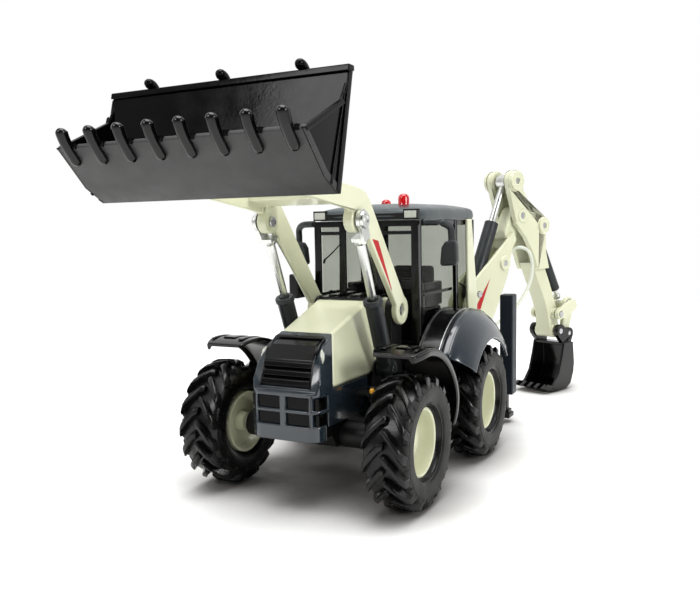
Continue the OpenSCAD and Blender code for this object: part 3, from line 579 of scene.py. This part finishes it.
def build_wheel(end, hand):
    """A tyre with its tread and its outer sidewall, and its rim."""
    side = SIDES[hand]
    y = AXLES[end]
    body = f"{end}_wheels"
    tyre = f"tyre_{end}_{hand}"
    rim = f"rim_{end}_{hand}"
    bm = bmesh.new()
    lathe(bm, on_side(side, carcass, TYRE_MID), (y, AXLE_Z), 96, closed=True)
    for i in range(LUGS):
        add_lug(bm, y, 360 * i / LUGS, 1, side)
        add_lug(bm, y, 360 * (i + 0.5) / LUGS, -1, side)
    dress(made(f"{tyre}_tread", bm), rubber, body, (tyre,), 0.3, 3, 40)

    # ring on the outer sidewall, notched between the feet of the bars
    bm = bmesh.new()
    lathe(bm, on_side(side, wall_ring, TYRE_MID), (y, AXLE_Z), 96)
    for i in range(NOTCHES):
        a0 = 360 * i / NOTCHES
        lathe(bm, on_side(side, wall_tooth, TYRE_MID), (y, AXLE_Z), 4, a0, a0 + 270 / NOTCHES, True)
    dress(made(f"{tyre}_side", bm), side_wall, body, (), 0.12, 2, 40)

    bm = bmesh.new()
    lathe(bm, on_side(side, [*rim_back, *rim_dish]), (y, AXLE_Z), 72)
    for i in range(BOLTS):
        a = 2 * math.pi * (i + 0.5) / BOLTS
        spot = Vector((side * 23.05, y + BOLT_R * math.cos(a), AXLE_Z + BOLT_R * math.sin(a)))
        sweep(bm, [spot + Vector((side * dx, 0, 0)) for dx in (-0.3, 0.15, 0.3)], [0.42, 0.42, 0.25], 6)
    dress(made(f"{rim}_dish", bm), cream, body, (rim,), 0, 2, 42)


for end in AXLES:
    for hand in SIDES:
        build_wheel(end, hand)
    keep(f"{end}_axle", chrome)


# ---------- fenders ----------


def rear_fender(hand):
    """The cover over a rear wheel, the black arch of the cab inside it, and the bright trim between."""
    side = SIDES[hand]
    centre = (AXLES["rear"], AXLE_Z)
    slope = [
        (23.0, 21.15, 0), (23.75, 21.3, 0), (23.85, 21.8, 0), (23.5, 22.9, 0), (22.7, 24.3, 0),
        (21.4, 25.7, 0), (19.8, 26.9, 0), (18, 27.75, 0),
    ]
    outer = [(p.x, p.y) for p in curve_through(slope, 2)]
    lip = [(16.9, 28.0), (16.4, 28.2), (16.05, 28.0), (16.2, 27.5)]
    inner = [(17.8, 27.2), (19.4, 26.3), (20.9, 25.1), (22.0, 23.7), (22.6, 22.3), (22.7, 21.2)]
    bm = bmesh.new()
    lathe(bm, on_side(side, [*outer, *lip, *inner]), centre, 60, 36, 144, True)
    # rounded bead along the step beside the cab
    bead = [(23.42, 22.6), (23.72, 22.75), (23.47, 23.35), (23.12, 23.4)]
    lathe(bm, on_side(side, bead), centre, 60, 37, 143, True)
    shell = made(f"rear_fender_{hand}_shell", bm)
    dress(shell, slate, "chassis", (f"rear_fender_{hand}",), 0.2, 3, 40)

    bm = bmesh.new()
    arch = [
        (24, 14.7), (24, 15.2), (23.7, 15.5), (23.6, 20.9), (23.3, 21.1), (22.9, 21.1), (22.9, 15.3),
        (9, 15.2), (9, 14.7),
    ]
    lathe(bm, on_side(side, arch), centre, 60, 36.2, 143.9, True)
    cab_arch = made(f"cab_arch_{hand}", bm)
    dress(cab_arch, black, "chassis", (f"rear_fender_{hand}",), 0.12)

    bm = bmesh.new()
    trim = [(23.5, 20.15), (23.8, 20.2), (23.8, 20.4), (23.5, 20.45)]
    lathe(bm, on_side(side, trim), centre, 60, 84, 143, True)
    dress(made(f"cab_arch_trim_{hand}", bm), screw_steel, "chassis", (), 0.05)


def front_fender(hand):
    """The cover over a front wheel: narrower towards its rear end, and drawn in at its front tip."""
    side = SIDES[hand]
    centre = (AXLES["front"] + 0.5, AXLE_Z)
    count = 44
    first, turn = -2.8, 107.6  # degrees from straight back, up and over the wheel
    bm = bmesh.new()
    rings = []
    for i in range(count + 1):
        f = i / count
        a = math.radians(first + turn * f)
        rear = max(0.0, 1 - f / 0.3)
        pull = max(0.0, (f - 0.86) / 0.14)
        x_in = 15.7 + 1.5 * pull**2
        x_out = 28 - 1.6 * pull**2 - 1.5 * rear**2
        drop = 0.35 * pull
        section = [
            (19.25, x_in), (19.2, x_out - 1.3), (18.6, x_out - 0.9), (18.25, x_out - 0.5),
            (18.3, x_out - 0.1), (18.7, x_out), (19.5, x_out), (19.85, x_out - 0.25),
            (20.05, x_out - 0.8), (20.05, x_in + 0.2), (19.9, x_in),
        ]
        c, s = math.cos(a), math.sin(a)
        places = [(side * x, centre[0] + (r - drop) * c, centre[1] + (r - drop) * s) for r, x in section]
        rings.append([bm.verts.new(place_at) for place_at in places])
    skin(bm, rings)
    # stay from the chassis to the fender's foot
    x0, x1 = one_side(side, 15.8, 20.3)
    block(bm, (x0, -1.7, 13.9), (x1, 1.45, 15.9))
    # mouldings along the top: from x0 to x1 and from a0 to a1 degrees
    for x0, x1, a0, a1 in ((17.6, 19.2, 58, 98), (20.6, 24.4, 62, 94), (25.6, 26.6, 50, 99)):
        moulding = [(20.0, x0), (20.28, x0 + 0.25), (20.28, x1 - 0.25), (20.0, x1)]
        lathe(bm, on_side(side, moulding), centre, 16, a0, a1, True)
    shell = made(f"front_fender_{hand}_shell", bm)
    dress(shell, black, "chassis", (f"front_fender_{hand}",), 0.22, 2, 40)


for hand in SIDES:
    rear_fender(hand)
    front_fender(hand)


# ---------- body ----------

finer("base_plate", dark, "chassis", 0.15)
finer("chassis_frame", dark, "chassis", 0.2)


def higher_slots(co):
    """The bumper slots sit a little higher on the finished nose."""
    for old, new in ((17.2, 18.7), (20.0, 21.3), (21.2, 22.1), (24.0, 24.8)):
        if abs(co.z - old * MM) < 0.02 * MM:
            return Vector((co.x, co.y, new * MM))
    return co


finer("nose_grille", slate, "chassis", 0.3, 3, 38, higher_slots)
finer("grille_louvres", black, "chassis", 0.14)

# glossy black surrounds of the louvres and of the sloping panel
LOUVRE_HW = 5.9  # half the width between the surrounds
bm = bmesh.new()
surround = [
    (-34.1, 26.4), (-33.9, 26.3), (-32.1, 31.9), (-29.7, 34.95), (-26.9, 36.3), (-27.1, 36.65),
    (-29.6, 35.25), (-32.35, 32.1),
]
for x0, x1 in mirrored(LOUVRE_HW, 6.35):
    prism(bm, surround, x0, x1)
for outline in (
    [(-32.4, 31.9), (-32.1, 31.8), (-29.6, 34.6), (-29.75, 35.2), (-32.35, 32.3)],
    [(-27.6, 36.1), (-27.1, 36.3), (-26.7, 36.6), (-27.0, 36.9), (-27.7, 36.55)],
):
    prism(bm, outline, -LOUVRE_HW, LOUVRE_HW)
dress(made("nose_surrounds", bm), black, "chassis", (), 0.18, 3)

# dark backs of the bumper slots, in the darker black: painted shade in the recesses
SLOT_H = 2.56
bm = bmesh.new()
for z in (18.72, 22.12):
    for x0, x1 in mirrored(0.75, 6.35):
        block(bm, (x0, -34.5, z), (x1, -34.25, z + SLOT_H))
    for x0, x1 in mirrored(7.15, 8.3):
        block(bm, (x0, -34, z), (x1, -30.8, z + SLOT_H))
dress(made("bumper_slots", bm), painted_shade_black, "chassis", (), 0.08)

nose_lamp = [(6.95, -30.0, 34.4), (7.25, -30.3, 33.6), (7.5, -30.7, 32.4), (7.6, -31, 31.6)]
bm = bmesh.new()
for side in (-1, 1):
    sweep(bm, [(side * x, y, z) for x, y, z in nose_lamp], [0.12, 0.5, 0.45, 0.1], 12)
dress(made("nose_lamps", bm), lens, "chassis", (), 0, 2, 60)
finer("hood", cream, "chassis", 0.8, 4, 50)
finer("cowl_panel", black, "chassis", 0.15)
finer("cab_tub", black, "chassis", 0.3)


def nearer_bar(co):
    """The left bar of the windscreen stands nearer to the middle."""
    if co.y < machine(0, 5.8, 0).y and 5.3 * MM < co.x < 7.4 * MM:
        return Vector((co.x - 2.2 * MM, co.y, co.z))
    return co


finer("cab_frame", black, "chassis", 0.2, 2, 38, nearer_bar)
finer("rear_pillars", cream, "chassis", 0.3)

# door mirrors: a bent arm, and a case seen from the front as (x, z)
mirror_arm = [
    (14.9, 6.3, 60.9), (17, 6.6, 60.9), (19.6, 7.5, 60.7), (21.4, 8.7, 59.6), (21.7, 9.1, 57.6),
    (21.7, 9.1, 55.8),
]
mirror_case = [
    (18.9, 50.6), (19.3, 54.6), (20.2, 56.1), (22.5, 56.4), (23.1, 55.8), (23.3, 51), (22.8, 50.3),
    (19.4, 50.1),
]
bm = bmesh.new()
for side in (-1, 1):
    arm = curve_through([(side * x, y, z) for x, y, z in mirror_arm], 4)
    sweep(bm, arm, [0.85] * len(arm), 16)
    panel(bm, [(side * x, z) for x, z in mirror_case], 8.05, 10.15)
dress(made("mirror_cases", bm), grey, "chassis", ("mirrors",), 0.45, 4, 50)
finer("dashboard", black, "chassis", 0.5, 3)
finer("pivot_pins", screw_steel, "chassis", 0.15)
finer("rear_frame", slate_satin, "chassis", 0.45, 4)
keep("cab_glass", panes)

# rails under the roof, and thicker bars beside the windscreen
bm = bmesh.new()
for x0, x1 in ((-13.2, -6.8), (4.6, 13.2)):
    block(bm, (x0, 4.95, 58.0), (x1, 5.55, 58.9))
for foot, top in ((-6.9, -6.2), (4.6, 3.9)):
    corners = [(foot - 0.9, 30.2), (foot + 0.9, 30.2), (top + 0.85, 61.4), (top - 0.85, 61.4)]
    panel(bm, corners, 4.92, 5.6)
dress(made("windscreen_bars", bm), black, "chassis", (), 0.12)

# box at the cab's front right corner
bm = bmesh.new()
block(bm, (-17.6, -3.4, 42.2), (-14.9, 2.6, 48.4))
block(bm, (-16.4, 2.2, 43.6), (-14.4, 5.2, 46.4))
dress(made("corner_box", bm), black, "chassis", (), 0.5, 3)

# lever console beside the seat and the lower post of the door
console = [
    (7.6, 42.0), (9.2, 40.6), (12.4, 41.4), (15.2, 43.4), (15.4, 44.8), (14.0, 45.6), (8.6, 47.0),
    (7.6, 46.6),
]
bm = bmesh.new()
prism(bm, console, 8.6, 12.0)
block(bm, (9.6, 8.2, 26.5), (11.2, 9.8, 41.5))
dress(made("lever_console", bm), black, "chassis", (), 0.4, 3)

bm = bmesh.new()
for x0, x1 in mirrored(13.0, 13.55):
    block(bm, (x0, 10.2, 26.5), (x1, 11.8, 43.2))
    block(bm, (x0, 6.2, 42.2), (x1, 31.5, 43.0))
dress(made("door_rails", bm), black, "chassis", (), 0.12)
keep("chassis_screws", screw_steel)
keep("steering_wheel", dark)

ROOF_Z = 61.6  # underside of the roof


def roof_shell():
    """A domed shell with a thick rounded rim and a low front brow."""
    rows = [
        (0.0, 0.0), (0.9, -0.25), (2.1, -0.1), (2.75, 0.35), (3.15, 1.2), (3.7, 3.6), (4.15, 6.5),
        (4.3, 10.0),
    ]
    half_width, front, back = 14.75, 4.85, 49.75
    squareness = 0.24  # 1 would be an ellipse, 0 a rectangle
    count = 72
    mid = (front + back) / 2
    bm = bmesh.new()
    rings = []
    for rise, inset in rows:
        hx, hy = half_width - inset, (back - front) / 2 - inset
        ring = []
        for k in range(count):
            a = 2 * math.pi * (k + 0.5) / count
            c, s = math.cos(a), math.sin(a)
            x = hx * math.copysign(abs(c) ** squareness, c)
            y = mid + hy * math.copysign(abs(s) ** squareness, s)
            brow = max(0.0, 1 - (y - front) / 12)
            ring.append(bm.verts.new((x, y, ROOF_Z + rise * (1 - 0.12 * brow if rise > 2 else 1))))
        rings.append(ring)
    skin(bm, rings)
    return bm


dress(made("roof_shell", roof_shell()), roof_grey, "chassis", ("cab_roof",), 0, 2, 50)

bm = bmesh.new()
for x0, x1 in mirrored(11.1, 14.3):
    block(bm, (x0, 4.62, ROOF_Z + 0.45), (x1, 6, ROOF_Z + 2.2))
dress(made("work_light_faces", bm), lens, "chassis", ("work_lights",), 0.12)

# the brow under the roof's front edge, and the frames of the two lights in it
bm = bmesh.new()
for x0, x1 in mirrored(10.8, 14.6):
    for first, last, low, high in (
        (x0, x1, 2.2, 2.6), (x0, x1, 0.1, 0.45), (x0, x0 + 0.3, 0.1, 2.6), (x1 - 0.3, x1, 0.1, 2.6),
    ):
        block(bm, (first, 4.62, ROOF_Z + low), (last, 6.2, ROOF_Z + high))
block(bm, (-10.8, 4.64, ROOF_Z + 0.2), (10.8, 5.2, ROOF_Z + 1.7))
dress(made("roof_brow", bm), dark, "chassis", (), 0.12)

bm = bmesh.new()
for x, y, h in ((7.6, 12.5, 3.9), (-7.8, 35, 3.3)):
    z = ROOF_Z + 2.75
    dome = [
        (1.68, 0), (1.7, 0.45), (1.55, 0.62), (1.45, 0.8), (1.45, h - 1.3), (1.3, h - 0.65),
        (0.95, h - 0.22), (0.5, h - 0.04), (0.02, h),
    ]
    turns = [(math.cos(a), math.sin(a)) for a in (math.radians(10 * k) for k in range(36))]
    skin(bm, [[bm.verts.new((x + r * c, y + r * s, z + t)) for c, s in turns] for r, t in dome])
dress(made("beacon_lenses", bm), red_glass, "chassis", ("beacons",), 0, 2, 50)

bm = bmesh.new()
sweep(bm, [(-11.4, 4.62, 51.7), (-9, 4.6, 53.6), (-6.9, 4.62, 55.6)], [0.2, 0.2, 0.14], 8)
sweep(bm, [(-11.7, 4.6, 50.8), (-11.4, 4.62, 51.7), (-11.2, 4.62, 52)], [0.32, 0.32, 0.2], 8)
dress(made("wiper_arm", bm), dark, "chassis", ("wiper",))

# seat: a moulded base, back and foot, with raised pads on them
bm = bmesh.new()
block(bm, (-6.2, 24.6, 32.2), (6.2, 36.6, 35.2))
block(bm, (-6.2, 35, 33), (6.2, 37.5, 48.6))
block(bm, (-3, 26, 25.2), (3, 34, 32.3))
dress(made("seat_shell", bm), seat_grey, "chassis", ("driver_seat",), 1.1, 4, 60)
bm = bmesh.new()
block(bm, (-4.6, 34.2, 36.4), (4.6, 35.1, 46.8))
block(bm, (-4.6, 25.6, 35.0), (4.6, 34, 35.8))
for x0, x1 in mirrored(4.9, 6.1):
    block(bm, (x0, 26, 35.0), (x1, 34.4, 36.3))
dress(made("seat_pads", bm), seat_grey, "chassis", (), 0.4, 3, 60)

# small amber lamps on the nose's flanks
bm = bmesh.new()
for side in (-1, 1):
    run = [(side * x, y, 23.7) for x, y in ((13.0, -18.2), (13.1, -18.8), (13.1, -19.1))]
    sweep(bm, run, [0.7, 0.65, 0.35], 12)
dress(made("amber_lamps", bm), amber, "chassis", (), 0, 2, 60)
bm = bmesh.new()
for side in (-1, 1):
    x0, x1 = one_side(side, 8.7, 14.2)
    block(bm, (x0, -18.2, 22.4), (x1, -14.8, 23.1))
    x0, x1 = one_side(side, 12, 14.2)
    block(bm, (x0, -18.3, 22.8), (x1, -17.4, 24.6))
dress(made("lamp_brackets", bm), dark, "chassis", (), 0.15)


# ---------- loader ----------

finer("loader_arms", cream, "loader", 0.38, 3)
finer("arm_screws", screw_steel, "loader", 0.12)
finer("bucket_pins", screw_steel, "bucket", 0.15)

# lift rams, as (y, z), and how far they stand from the middle of the machine
RAM_FOOT, ROD_PIN = (-7.9, 27), (-22.2, 61.6)
RAM_X = 11.7
RAM_REACH = math.dist(RAM_FOOT, ROD_PIN)
along = Vector((ROD_PIN[0] - RAM_FOOT[0], ROD_PIN[1] - RAM_FOOT[1])) / RAM_REACH
across = Vector((-along[1], along[0]))

# strut profiles: radius, and distance from the ram's foot
ram_tube = [
    (1.2, 0.2), (1.85, 0.9), (2.0, 1.6), (2.0, 16.6), (2.05, 16.9), (2.28, 17.1), (2.28, 17.9),
    (2.1, 18.2), (1.25, 18.2), (1.08, 17.4),
]
ram_rod = [
    (0.85, RAM_REACH - 21.9), (1, RAM_REACH - 21.7), (1, RAM_REACH - 5.7), (1.25, RAM_REACH - 5.6),
    (1.4, RAM_REACH - 5.4), (1.4, RAM_REACH - 4.5),
]
# turned profiles: radius, and distance from the middle of the machine
ram_eye = [(0.88, 9.85), (1.9, 9.85), (1.98, 10), (1.98, 13.4), (1.9, 13.55), (0.88, 13.55)]
pin_head = [
    (1.9, 13.45), (1.9, 13.9), (1.75, 14.1), (1.2, 14.1), (1.0, 13.85), (0.5, 13.8), (0.35, 13.95),
    (0.02, 13.95),
]


def by_pin(s, t):
    """A point s across and t along a lift ram, counted from the pin of its rod."""
    return tuple(Vector(ROD_PIN) + across * s + along * t)


turns = [math.radians(t) for t in range(-130, 131, 10)]
round_end = [by_pin(2.3 * math.sin(a), 2.3 * math.cos(a)) for a in turns]
cheek = [*round_end, by_pin(1.5, -3.4), by_pin(1.5, -4.6), by_pin(-1.5, -4.6), by_pin(-1.5, -3.4)]
yoke = [by_pin(1.45, -3.85), by_pin(1.45, -4.6), by_pin(-1.45, -4.6), by_pin(-1.45, -3.85)]
for hand, side in SIDES.items():
    bm = bmesh.new()
    strut(bm, RAM_FOOT, ROD_PIN, ram_tube, side * RAM_X)
    lathe(bm, on_side(side, ram_eye), RAM_FOOT, 40, closed=True)
    tube = made(f"lift_barrel_{hand}_tube", bm)
    dress(tube, grey, f"lift_cylinder_{hand}", (f"lift_barrel_{hand}",), 0, 2, 40)
    bm = bmesh.new()
    strut(bm, RAM_FOOT, ROD_PIN, ram_rod, side * RAM_X)
    prism(bm, cheek, *one_side(side, 12.72, 13.5))
    prism(bm, yoke, *one_side(side, 10.3, 13.3))
    lathe(bm, on_side(side, pin_head), ROD_PIN, 36)
    rod = made(f"lift_rod_{hand}_polished", bm)
    dress(rod, chrome, f"lift_piston_{hand}", (f"lift_rod_{hand}",), 0, 2, 40)

# painted wedge on each arm, on the outer face
wedge = [(-15.9, 57.4), (-12.9, 56.9), (-5.9, 45.4), (-6.1, 45.2)]
bm = bmesh.new()
for x0, x1 in mirrored(12.38, 12.43):
    prism(bm, wedge, x0, x1)
dress(made("arm_wedges", bm), red_paint, "loader")

BUCKET_HW = 26.7
INSIDE = BUCKET_HW - 0.2  # half the width of the plates between the sides
bucket_side = [(-67.7, 75.5), (-61.2, 68.4), (-56.6, 65.6), (-51.2, 87.3), (-55, 81.35)]
# raised borders of a side plate, along its back, beside that, and along its open edge
borders = (
    [(-56.6, 65.6), (-57.9, 66.3), (-52.8, 86), (-51.2, 87.3)],
    [(-59.3, 67.0), (-59.9, 67.4), (-54.6, 82.4), (-54.1, 82.8)],
    [(-67.7, 75.5), (-66.9, 74.9), (-54.4, 80.6), (-55, 81.35)],
)
bm = bmesh.new()
for side in (-1, 1):
    prism(bm, bucket_side, *one_side(side, BUCKET_HW - 0.95, BUCKET_HW - 0.35))
    for border in borders:
        prism(bm, border, *one_side(side, BUCKET_HW - 0.5, BUCKET_HW))
# back plate, its top edge, and the strip behind that
prism(bm, [(-56.6, 65.6), (-57.3, 66.6), (-52.5, 86.9), (-51.3, 86.9)], -INSIDE, INSIDE)
prism(bm, [(-53.2, 86.2), (-52.9, 87.4), (-51.0, 87.4), (-50.9, 86.4)], -BUCKET_HW, BUCKET_HW)
prism(bm, [(-50.95, 86.6), (-50.6, 86.5), (-52.6, 78.5), (-53.0, 78.6)], -BUCKET_HW + 1, BUCKET_HW - 1)
# ears for the bucket's pins
EAR_Y, EAR_Z, EAR_R, EAR_W = -51, 69.6, 2.4, 1.6
turns = [math.radians(t) for t in range(-100, 91, 10)]
ear = [(EAR_Y + EAR_R * math.cos(a), EAR_Z + EAR_R * math.sin(a)) for a in turns]
for x in (9, 12.7):
    for x0, x1 in mirrored(x, x + EAR_W):
        prism(bm, [*ear, (-55.2, 73.4), (-56.2, 67.9)], x0, x1)
# hooks over the top edge
hook = [(-51.2, 84.4), (-50.75, 85.8), (-50.9, 87.1), (-51.8, 88.1), (-52.9, 88.35), (-53.6, 88.1)]
for x in (-17, 0, 17):
    run = curve_through([(x, y, z) for y, z in hook], 3)
    last = len(run) - 1
    sweep(bm, run, [1.0 * min(1, math.sqrt((last - k + 0.1) / 3.5)) for k in range(last + 1)], 16)
shell = made("loader_bucket_shell", bm)
# the bucket's plates in the darker black: painted shade, beside its lighter underside
dress(shell, painted_shade_black, "bucket", ("loader_bucket",), 0.2, 2, 40)
bm = bmesh.new()
# the bucket's underside in the lighter black: painted sheen, with some real gloss
under = [(-67.6, 75.4), (-61.2, 68.4), (-56.6, 65.6), (-56.3, 66.8), (-60.6, 69.4), (-67.0, 76.1)]
prism(bm, under, -INSIDE, INSIDE)
dress(made("loader_bucket_floor", bm), painted_sheen_black, "bucket", (), 0.2, 2, 40)

TEETH = 8
tooth = [
    (-65.0, 72.5), (-65.7, 73.0), (-66.6, 74.1), (-68.0, 76), (-68.7, 77.4), (-68.95, 78.2), (-68.9, 78.8),
]
bm = bmesh.new()
for i in range(TEETH):
    x = (BUCKET_HW - 3.2) * (2 * i / (TEETH - 1) - 1)
    run = curve_through([(x, y, z) for y, z in tooth], 4)
    last = len(run) - 1
    radii = []
    for k in range(last + 1):
        rounding = min(1, math.sqrt((k + 0.15) / 4.5)) * min(1, math.sqrt((last - k + 0.1) / 4.5))
        radii.append((0.95 + 0.22 * k / last) * rounding)
    sweep(bm, run, radii, 16)
    block(bm, (x + 1.2, -67.75, 75.1), (x + 1.9, -66.9, 76.1))
dress(made("loader_bucket_teeth", bm), black, "bucket", (), 0, 2, 60)


# ---------- stabilizers and digging arm ----------

# a stabilizer's leg, its foot, and the collar between them, as corners on the left side
foot_boxes = (
    ((20.8, 55.85, 3.4), (21.9, 58.2, 31)),
    ((19.1, 54.6, 1.5), (23.0, 59.5, 2.9)),
    ((20.2, 55.4, 2.8), (22.6, 58.7, 4)),
)
for hand, side in SIDES.items():
    bm = bmesh.new()
    for low, high in foot_boxes:
        x0, x1 = one_side(side, low[0], high[0])
        block(bm, (x0, low[1], low[2]), (x1, high[1], high[2]))
    leg = made(f"stabilizer_{hand}_foot", bm)
    dress(leg, dark, f"leg_{hand}", (f"stabilizer_leg_{hand}",), 0.25, 3)
finer("swing_bracket", slate, "swing", 0.3, 3)
finer("boom_pins", screw_steel, "swing", 0.15)
finer("boom", cream, "backhoe_boom", 0.32, 3)
finer("boom_screws", screw_steel, "backhoe_boom", 0.1)
finer("stick_barrel", grey, "dipper_cylinder", 0.25, 3)

# pins and barrel ends of the digging arm's rams, as (distance from the kingpost, z)
STICK_FOOT, STICK_END, DIPPER_TOP = (14.2, 37.5), (24.8, 60.4), (31.1, 74)
RAM_HEAD, RAM_END, ROCKER_TIP = (46.8, 59.1), (60.4, 36.1), (63.5, 30.1)
barrel = math.dist(STICK_END, STICK_FOOT)
reach = math.dist(DIPPER_TOP, STICK_FOOT)
bm = bmesh.new()
strut(bm, STICK_FOOT, DIPPER_TOP, [(1.05, barrel - 16), (1.2, barrel - 15.8), (1.2, reach - 1)])
rod_eye = [(1.1, -1.7), (2.15, -1.9), (2.3, -1.75), (2.3, 1.75), (2.15, 1.9), (1.1, 1.7)]
lathe(bm, rod_eye, DIPPER_TOP, 40, closed=True)
rod = made("stick_rod_polished", bm, hoe)
dress(rod, chrome, "dipper_piston", ("stick_rod",), 0, 2, 40)
finer("dipper", cream, "dipper_arm", 0.28, 3)
bm = bmesh.new()
back = [
    (34.6, 72.9), (36.3, 70.5), (40.4, 64.5), (43.8, 62.1), (43.2, 61.1), (39.7, 63.5), (35.5, 69.6),
    (33.9, 71.9),
]
prism(bm, back, -2.75, 2.75)
dress(made("dipper_back", bm, hoe), cream, "dipper_arm", (), 0.2, 3)
finer("dipper_screws", screw_steel, "dipper_arm", 0.1)
finer("bucket_ram_barrel", grey, "bucket_cylinder", 0.25, 3)
barrel = math.dist(RAM_END, RAM_HEAD)
reach = math.dist(ROCKER_TIP, RAM_HEAD)
curl_rod = [
    (0.6, barrel - 14), (0.7, barrel - 13.8), (0.7, reach - 4.4), (1.1, reach - 4.35), (1.2, reach - 4.2),
    (1.2, reach - 3), (1.05, reach - 2.8),
]
bm = bmesh.new()
strut(bm, RAM_HEAD, ROCKER_TIP, curl_rod)
rod = made("bucket_ram_rod_polished", bm, hoe)
dress(rod, chrome, "bucket_piston", ("bucket_ram_rod",), 0, 2, 40)
finer("rocker", cream, "rocker_arm", 0.28, 3)
finer("bucket_link", cream, "coupling_link", 0.28, 3)
finer("hoe_bucket", black, "digging_bucket", 0.16)
finer("hoe_pins", screw_steel, "digging_bucket", 0.1)

boom_wedge = [(19.4, 42.4), (13.8, 31.2), (10.6, 31.6)]
bm = bmesh.new()
for x0, x1 in mirrored(3.78, 3.83):
    prism(bm, boom_wedge, x0, x1)
dress(made("boom_wedges", bm, hoe), red_paint, "backhoe_boom")


# ---------- studio ----------

FLOOR_HW = 3000
FLOOR_TONE, SHADOW_TONE = (0.93, 0.93, 0.92), (0.2, 0.19, 0.18)
floor_mat, floor_tree, floor_bsdf = material("studio_floor", FLOOR_TONE, 0.6)
floor_tree.links.new(span(floor_tree, noise(floor_tree, 300, 3), 0.5, 0.68), floor_bsdf.inputs["Roughness"])
# painted shadow: darker where the model stands close over it
near = floor_tree.nodes.new("ShaderNodeAmbientOcclusion")
near.inputs["Distance"].default_value = 0.03
near.samples = 24
openness = span(floor_tree, near.outputs["AO"], 0, 1, 0.35, 0.95)
floor_tree.links.new(tint(floor_tree, openness, SHADOW_TONE, FLOOR_TONE), floor_bsdf.inputs["Base Color"])
# far from the model the floor turns into the white backdrop
place = floor_tree.nodes.new("ShaderNodeTexCoord")
far = floor_tree.nodes.new("ShaderNodeVectorMath")
far.operation = "LENGTH"
floor_tree.links.new(place.outputs["Object"], far.inputs[0])
white = floor_tree.nodes.new("ShaderNodeEmission")
fade = floor_tree.nodes.new("ShaderNodeMixShader")
floor_tree.links.new(span(floor_tree, far.outputs["Value"], 0, 1, 0.16, 0.42), fade.inputs["Fac"])
floor_tree.links.new(floor_bsdf.outputs["BSDF"], fade.inputs[1])
floor_tree.links.new(white.outputs["Emission"], fade.inputs[2])
floor_tree.links.new(fade.outputs["Shader"], floor_tree.nodes["Material Output"].inputs["Surface"])
bm = bmesh.new()
bmesh.ops.create_grid(bm, x_segments=8, y_segments=8, size=FLOOR_HW)
floor = made("studio_floor", bm, lambda x, y, z: Vector((x, y, z)) * MM)
floor.data.materials.append(floor_mat)

world = bpy.data.worlds.new("studio")
bpy.context.scene.world = world
world.use_nodes = True
background = world.node_tree.nodes["Background"]
background.inputs["Strength"].default_value = 1
# a room that is white ahead of the camera and overhead, and dim behind it
coord = world.node_tree.nodes.new("ShaderNodeTexCoord")
ahead = world.node_tree.nodes.new("ShaderNodeVectorMath")
ahead.operation = "DOT_PRODUCT"
ahead.inputs[1].default_value = (-math.sin(YAW), math.cos(YAW), 0.25)
world.node_tree.links.new(coord.outputs["Generated"], ahead.inputs[0])
glow = span(world.node_tree, ahead.outputs["Value"], 0.16, 1, -0.5, 0.45)
world.node_tree.links.new(glow, background.inputs["Color"])


def lamp(name, place_at, target, size, power):
    """A soft rectangular light, in metres and watts, turned to its target."""
    data = bpy.data.lights.new(name, "AREA")
    data.shape = "RECTANGLE"
    data.size, data.size_y = size
    data.energy = power
    obj = bpy.data.objects.new(name, data)
    bpy.context.scene.collection.objects.link(obj)
    obj.location = place_at
    obj.rotation_euler = (Vector(target) - Vector(place_at)).to_track_quat("-Z", "Y").to_euler()


lamp("overhead", (0.02, -0.08, 0.7), (0, -0.02, 0.03), (0.5, 0.5), 5.2)
lamp("key_left", (-0.3, -0.65, 0.5), (0, 0, 0.04), (0.25, 0.25), 2.2)
lamp("key_right", (0.8, -0.2, 0.4), (0, 0, 0.04), (0.2, 0.35), 4.2)

bpy.context.scene.view_settings.view_transform = "Standard"
